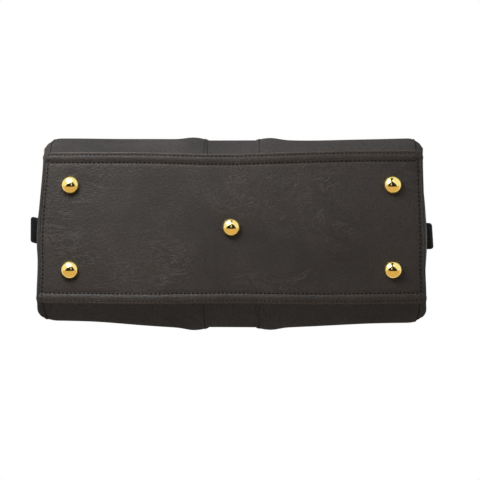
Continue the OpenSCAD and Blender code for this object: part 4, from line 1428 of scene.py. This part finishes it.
class BAG_OT_handles(bpy.types.Operator):
    """Two rolled handles with their rings, and the riveted chapes that hold them"""
    bl_idname = "bag.handles"
    bl_label = "Handles"

    def execute(self, context):
        body = Body()
        t = trim()
        for side, sign in SIDES.items():
            leather, stitches = handle_parts()
            rides = "handle_" + side
            place(f"{side}_rolled_handle", [on_pivot(body, sign, p) for p in leather], "trim", rides,
                  stands_for=[f"handle_{side}", f"handle_core_{side}"])
            place(f"{side}_handle_stitches", [on_pivot(body, sign, stitches)], "thread", rides)
            half = t.chape_w / 2 + 0.0002 + t.ring_r
            loop = rounded_loop(half, t.ring_h, 0.0034)
            rings = [sweep_part(loop + [x * t.handle_span / 2, 0, 0], circle(t.ring_r, 18), [0, 1.0, 0], True)
                     for x in (-1, 1)]
            place(f"{side}_handle_rings_wire", [on_pivot(body, sign, p) for p in rings], "gold", rides,
                  stands_for=[f"handle_rings_{side}"])
            straps, rows, rivets = chape_parts(body)
            place(f"{side}_chape_straps", [mirrored(p, sign) for p in straps], "trim", "frame_" + side,
                  stands_for=[f"{side}_chapes"])
            place(f"{side}_chape_stitches", [mirrored(p, sign) for p in rows], "thread", "frame_" + side)
            place(f"{side}_chape_rivet_heads", [mirrored(p, sign) for p in rivets], "gold", "frame_" + side,
                  stands_for=[f"{side}_chape_rivets"])
        return {"FINISHED"}


# ---------------------------------------------------------------- end loops and lock

LOOP_SET = {"left": (-0.0058, 0.0024), "right": (0.0002, -0.0012)}


def sagged_loop(points, end, root, tip):
    """A loop's soft set: its nose is round in plan, and each loop leans and reaches a little its own way."""
    points = np.array(points, float)
    out = smoothstep(root, tip, points[:, 0])
    near = np.clip((points[:, 0] - tip + 0.003) / 0.003, 0, 1)
    points[:, 1] *= 1 - 0.20 * (1 - np.sqrt(1 - 0.98 * near ** 2))
    lean, reach = LOOP_SET[end]
    points[:, 1] += lean * out
    points[:, 0] += (reach + (0.06 * points[:, 1] if end == "right" else 0)) * out
    return points


class BAG_OT_loops(bpy.types.Operator):
    """Leather loops on the gussets, folded from one strap, stitched and riveted"""
    bl_idname = "bag.loops"
    bl_label = "End loops"

    def execute(self, context):
        body = Body()
        s, t = body.s, trim()
        x0 = body.gusset_out + 0.00035
        half = t.loop_t / 2
        top = s.hinge_h - EYE_R - 0.0004
        bottom = top - t.loop_h
        foot = bottom - t.loop_foot
        r = t.loop_h / 2 - half
        nose = body.gusset_out + t.loop_reach - t.loop_h / 2
        back = np.stack([np.full(14, x0 + half), np.linspace(foot, top - 0.0042, 14)], 1)
        turn = np.radians(np.linspace(165, 100, 6))
        turn_r = 0.003
        bend = np.stack([x0 + turn_r * (1 + np.cos(turn)), top - turn_r * (1 - np.sin(turn))], 1)
        bend = bend + [half, -half]
        over = np.stack([np.linspace(bend[-1, 0] + 0.001, nose, 12), np.full(12, top - half)], 1)
        turn = np.radians(np.linspace(84, -90, 22))
        round_nose = np.stack([nose + r * np.cos(turn), bottom + t.loop_h / 2 + r * np.sin(turn)], 1)
        under = np.linspace(nose - 0.001, x0 + 2 * half + 0.0006, 12)
        under = np.stack([under, np.full(12, bottom + half)], 1)
        line = np.concatenate([back, bend, over, round_nose, under])
        path = np.stack([line[:, 0], 0 * line[:, 0], line[:, 1]], 1)
        run = run_length(path)
        rise = np.clip(run / 0.004, 0, 1)
        width = t.loop_w - 0.006 * (1 - np.sqrt(1 - (1 - rise) ** 2))
        thick = t.loop_t * np.where(rise < 0.2, 0.7, 1.0) * 0.98
        profile = np.stack([round_bar(w, h, 0.0010, 4) for w, h in zip(width, thick)])
        rows, heads = [], []
        outer = x0 + 2 * half
        inner = body.gusset_out - s.gusset_t - 0.0015
        rivet_z = foot + t.loop_foot / 2
        y = t.loop_w / 2 - 0.0022
        for sign in (-1, 1):
            column = np.array([[outer, sign * y, foot + 0.003], [outer, sign * y, bottom - 0.0005]])
            rows.append(stitch_part(column, [1.0, 0, 0]))
            edge = np.array([[nose, sign * y, bottom + 0.0001], [outer + 0.002, sign * y, bottom + 0.0001]])
            rows.append(stitch_part(edge, [0, 0, -1.0]))
            edge = np.array([[outer + 0.002, sign * y, top - 0.0001], [nose, sign * y, top - 0.0001]])
            rows.append(stitch_part(edge, [0, 0, 1.0]))
            rivet_y = sign * t.rivet_span / 2
            for x, facing, high in ((outer, 1.0, RIVET_HEAD_H), (inner, -1.0, INNER_HEAD_H)):
                head = dome_profile(t.rivet_head_r, high)
                heads.append(lathe_part(head, (x, rivet_y, rivet_z), [facing, 0, 0], 32))
        low = np.array([[outer, -y, foot + 0.0022], [outer, y, foot + 0.0022]])
        rows.append(stitch_part(low, [1.0, 0, 0]))
        strap = sweep_part(path, profile, [0, 1.0, 0])
        tip = body.gusset_out + t.loop_reach
        all_heads, all_rows = [], []
        for end, turn_x in ENDS.items():
            flip = np.array([turn_x, 1, 1])
            verts = sagged_loop(strap[0], end, outer, tip)
            place(f"{end}_end_loop", [(verts * flip, strap[1])], "trim", "root",
                  stands_for=[f"end_loop_{end}"])
            all_heads += [(v * flip, f) for v, f in heads]
            all_rows += [(sagged_loop(v, end, outer, tip) * flip, f) for v, f in rows]
        place("end_loop_stitches", all_rows, "thread", "root")
        place("end_loop_rivet_heads", all_heads, "gold", "root", stands_for=["end_loop_rivets"])
        return {"FINISHED"}


class BAG_OT_lock(bpy.types.Operator):
    """Turn lock: a stepped rosette, a rounded knob on its shaft, and the bit behind the keeper"""
    bl_idname = "bag.lock"
    bl_label = "Turn lock"

    def execute(self, context):
        body = Body()
        s, t = body.s, trim()
        z = s.frame_h + s.bar_h / 2
        shaft = 0.0022
        face = s.bar_gap / 2 + s.bar_w + s.band_t
        r, h = t.rosette_r, t.rosette_t
        section = [[shaft + 0.0001, 0.0001], [r - 0.0004, 0.0001], [r, 0.0005], [r, h * 0.34],
                   [r * 0.95, h * 0.48], [r * 0.86, h * 0.50], [r * 0.82, h * 0.62], [r * 0.74, h * 0.86],
                   [r * 0.62, h * 0.95], [r * 0.42, h * 0.98], [shaft + 0.0004, h * 0.98],
                   [shaft + 0.0001, h * 0.9]]
        rosette = ring_part(section, (0, -face, z), [0, -1.0, 0], 64)
        place("lock_rosette_turned", [rosette], "gold", "frame_front", stands_for=["lock_rosette"])
        near = face + h + 0.0001
        bit_y = s.bar_gap / 2 + 0.0025 + 0.0004
        back, front = -bit_y - 0.001, near + 0.001
        rod = lathe_part([[0, back], [shaft, back], [shaft, front], [0, front]], (0, 0, z), [0, -1.0, 0], 32)
        x = np.linspace(-1, 1, 33)
        half = t.knob_l / 2
        waist = 0.72 + 0.28 * np.abs(x) ** 1.6
        end_r = t.knob_w / 2
        into_end = np.clip((np.abs(x) * half - half + end_r) / end_r, 0, 0.995)
        cap = np.sqrt(np.clip(1 - into_end ** 2, 0, 1))
        wide = np.maximum(t.knob_w * waist * cap, 0.0008)
        deep = t.knob_t * (0.80 + 0.20 * np.abs(x) ** 2) * np.maximum(cap, 0.35)
        path = np.stack([x * half, 0 * x - near - t.knob_t / 2, 0 * x + z], 1)
        profile = np.stack([round_bar(d, w, min(w, d) * 0.46, 5) for w, d in zip(wide, deep)])
        knob = sweep_part(path, profile, [0, 1.0, 0])
        neck = [[0, near], [0.0034, near], [0.0030, near + 0.001], [0.0026, near + 0.002], [0, near + 0.002]]
        stem = lathe_part(neck, (0, 0, z), [0, -1.0, 0], 32)
        bx = np.array([-0.0045, -0.0043, -0.0038, 0, 0.0038, 0.0043, 0.0045])
        ease = np.array([0.0007, 0.0002, 0, 0, 0, 0.0002, 0.0007])
        bar = np.stack([round_bar(0.0025 - e, 0.0034 - e, 0.0006, 3) for e in ease])
        bit = sweep_part(np.stack([bx, 0 * bx + bit_y + 0.00125, 0 * bx + z], 1), bar, [0, 1.0, 0])
        place("lock_turn_knob", [rod, knob, stem, bit], "gold", "lock_knob", stands_for=["lock_knob"])
        return {"FINISHED"}


class BAG_OT_fittings(bpy.types.Operator):
    """Gives the frame's own inner parts, which stay as they are, their procedural materials"""
    bl_idname = "bag.fittings"
    bl_label = "Inner fittings"

    def execute(self, context):
        kept = {"base_board": "board", "foot_screws": "steel", "foot_washers": "steel",
                "hinge_stays": "steel", "lock_keeper": "gold"}
        for node, finish in kept.items():
            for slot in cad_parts[node].material_slots:
                slot.link = "OBJECT"
                slot.material = finish_of(finish)
        return {"FINISHED"}


# ---------------------------------------------------------------- stage

def emission(tree, rgb, strength):
    return tree.node("ShaderNodeEmission", None, Color=(*rgb, 1.0), Strength=strength)


def rays(tree, *names):
    """1 for rays of any of these kinds."""
    total = tree.node("ShaderNodeLightPath", out=names[0])
    for name in names[1:]:
        total = total.math("MAXIMUM", tree.node("ShaderNodeLightPath", out=name))
    return total


def make_world(look):
    """Even surrounding light, with the plain backdrop for camera, glossy and transmission rays."""
    world = bpy.data.worlds.new("studio")
    bpy.context.scene.world = world
    world.use_nodes = True
    t = Tree.__new__(Tree)
    t.nodes, t.links = world.node_tree.nodes, world.node_tree.links
    t.nodes.clear()
    lit = t.node("ShaderNodeBackground", None, Color=(0.97, 0.985, 1.0, 1.0), Strength=look.ambient)
    seen = t.node("ShaderNodeBackground", None, Color=(*look.backdrop, 1.0), Strength=1.0)
    plain = rays(t, "Is Camera Ray", "Is Glossy Ray", "Is Transmission Ray")
    mix = t.node("ShaderNodeMixShader", None, plain, lit, seen)
    t.node("ShaderNodeOutputWorld", None, mix)


def tapered(name, near, far, material):
    """A flat card, even about the middle plane, from the right ends of its near and far edges."""
    (x0, y0, z0), (x1, y1, z1) = near, far
    mesh = bpy.data.meshes.new(name)
    mesh.from_pydata([(-x0, y0, z0), near, far, (-x1, y1, z1)], [], [(0, 1, 2, 3)])
    mesh.materials.append(material)
    card = bpy.data.objects.new(name, mesh)
    bpy.context.scene.collection.objects.link(card)


def floor_material(look):
    """Pale floor that a camera sees from above. Light from below passes through it to the bag's underside."""
    t = Tree("pale_floor")
    above = 1.0 - t.node("ShaderNodeNewGeometry", out="Backfacing")
    floor = t.node("ShaderNodeBsdfDiffuse", None, Color=(*shade(look.backdrop, 0.95), 1.0))
    clear = t.node("ShaderNodeBsdfTransparent", None)
    t.node("ShaderNodeOutputMaterial", None,
           t.node("ShaderNodeMixShader", None, above * rays(t, "Is Camera Ray"), clear, floor))
    return t.material


def card_material(name, rgb, strength):
    """A card that only mirror-like surfaces see."""
    t = Tree(name)
    glow = emission(t, rgb, strength)
    clear = t.node("ShaderNodeBsdfTransparent", None)
    t.node("ShaderNodeOutputMaterial", None,
           t.node("ShaderNodeMixShader", None, rays(t, "Is Glossy Ray"), clear, glow))
    return t.material


def lamp(name, place, aim, size, power, rgb=(1, 1, 1), height=None):
    """A soft rectangular lamp at a place, turned towards an aim."""
    light = bpy.data.lights.new(name, "AREA")
    light.energy, light.color = power, rgb
    light.shape = "RECTANGLE"
    light.size, light.size_y = size, height or size
    obj = bpy.data.objects.new(name, light)
    obj.location = place
    obj.rotation_euler = (Vector(aim) - Vector(place)).to_track_quat("-Z", "Y").to_euler()
    obj.visible_camera = False
    bpy.context.scene.collection.objects.link(obj)
    return obj


class BAG_OT_studio(bpy.types.Operator):
    """Floor, soft lamps and the camera under the bag"""
    bl_idname = "bag.studio"
    bl_label = "Studio"

    def execute(self, context):
        look = context.scene.bag_studio
        scene = context.scene
        scene.view_settings.view_transform = "Standard"
        make_world(look)
        tapered("floor", (6, -6, 0), (6, 6, 0), floor_material(look))
        dark = card_material("dark_card", (0.02, 0.02, 0.02), 1.0)
        tapered("dark_card", (0.72, 0.15, -0.45), (0.06, -0.42, -0.45), dark)
        tapered("dark_gap", (0.06, -0.41, -0.46), (0.50, -2.6, -0.25), dark)
        warm = card_material("warm_card", (0.90, 0.62, 0.33), 0.85)
        tapered("warm_card", (3.4, 0.145, -0.46), (3.4, 2.4, -0.02), warm)
        for name, y, grey in (("front_flag", -1.0, 0.14), ("back_flag", 1.0, 0.06)):
            flag = card_material(name, (grey, grey, grey), 1.0)
            tapered(name, (3, y * 0.12, 1.3), (3, y * 3.2, 1.1), flag)
        white = card_material("highlight", (1.0, 1.0, 1.0), 1.0)
        tapered("highlight", (0.05, -0.17, -0.44), (0.03, 0.02, -0.44), white)
        key = look.key
        lamp("key_near", (-0.17, -0.28, -0.21), (-0.05, -0.03, 0), 0.30, key * 0.19, (0.94, 0.985, 1.0))
        lamp("key_wide", (0.1, -0.85, -1.2), (0, 0, 0.05), 0.9, key * 0.12, (0.98, 0.98, 1.0))
        lamp("under_fill", (0.2, 0.9, -1.2), (0, 0, 0.05), 0.9, key * 0.14, (1.0, 0.93, 0.86))
        for name, spot, share in (("top_front", (-0.6, -1.5, 1.9), 1.0), ("top_back", (0.6, 1.2, 2.5), 0.7)):
            lamp(name, spot, (0, 0, 0.15), 1.3, look.top * share).visible_glossy = False
        ry, rx = math.radians(look.yaw), math.radians(look.tilt)
        turn_x = np.array([[1, 0, 0], [0, math.cos(rx), math.sin(rx)], [0, -math.sin(rx), math.cos(rx)]])
        turn_y = np.array([[math.cos(ry), 0, math.sin(ry)], [0, 1, 0], [-math.sin(ry), 0, math.cos(ry)]])
        up, forward = (turn_y @ turn_x @ np.array([[1.0, 0, 0], [0, -1.0, 0], [0, 0, 1.0]]))[1:]
        camera = bpy.data.cameras.new("camera")
        camera.sensor_fit = "HORIZONTAL"
        camera.angle = math.radians(look.field)
        camera.clip_start, camera.clip_end = 0.01, 50
        obj = bpy.data.objects.new("camera", camera)
        obj.location = np.array([look.target_x, look.target_y, 0]) - forward * look.distance
        rows = np.stack([np.cross(up, -forward), up, -forward], 1)
        obj.rotation_euler = Matrix(rows.tolist()).to_euler()
        scene.collection.objects.link(obj)
        scene.camera = obj
        return {"FINISHED"}


# ---------------------------------------------------------------- panel and registration

OPERATORS = (BAG_OT_base, BAG_OT_walls, BAG_OT_gussets, BAG_OT_lining, BAG_OT_frame, BAG_OT_handles,
             BAG_OT_loops, BAG_OT_lock, BAG_OT_fittings, BAG_OT_studio)
GROUPS = {"bag_shape": BagShape, "bag_trim": TrimShape, "bag_finish": BagFinish, "bag_studio": StudioLook}


class BAG_PT_panel(bpy.types.Panel):
    """The bag's sizes and colours, and the buttons that build it"""
    bl_idname = "BAG_PT_panel"
    bl_label = "Doctor bag"
    bl_space_type = "VIEW_3D"
    bl_region_type = "UI"
    bl_category = "Doctor bag"

    def draw(self, context):
        for pointer, group in GROUPS.items():
            box = self.layout.box()
            box.label(text=pointer.replace("bag_", "").capitalize())
            for name in group.__annotations__:
                box.prop(getattr(context.scene, pointer), name)
        for operator in OPERATORS:
            self.layout.operator(operator.bl_idname)


def register():
    for item in (*GROUPS.values(), *OPERATORS, BAG_PT_panel):
        bpy.utils.register_class(item)
    for pointer, group in GROUPS.items():
        setattr(bpy.types.Scene, pointer, PointerProperty(type=group))


def unregister():
    for pointer in GROUPS:
        delattr(bpy.types.Scene, pointer)
    for item in (BAG_PT_panel, *OPERATORS[::-1], *GROUPS.values()):
        bpy.utils.unregister_class(item)


def main():
    register()
    for operator in OPERATORS:
        group, name = operator.bl_idname.split(".")
        getattr(getattr(bpy.ops, group), name)()


if __name__ == "__main__":
    main()
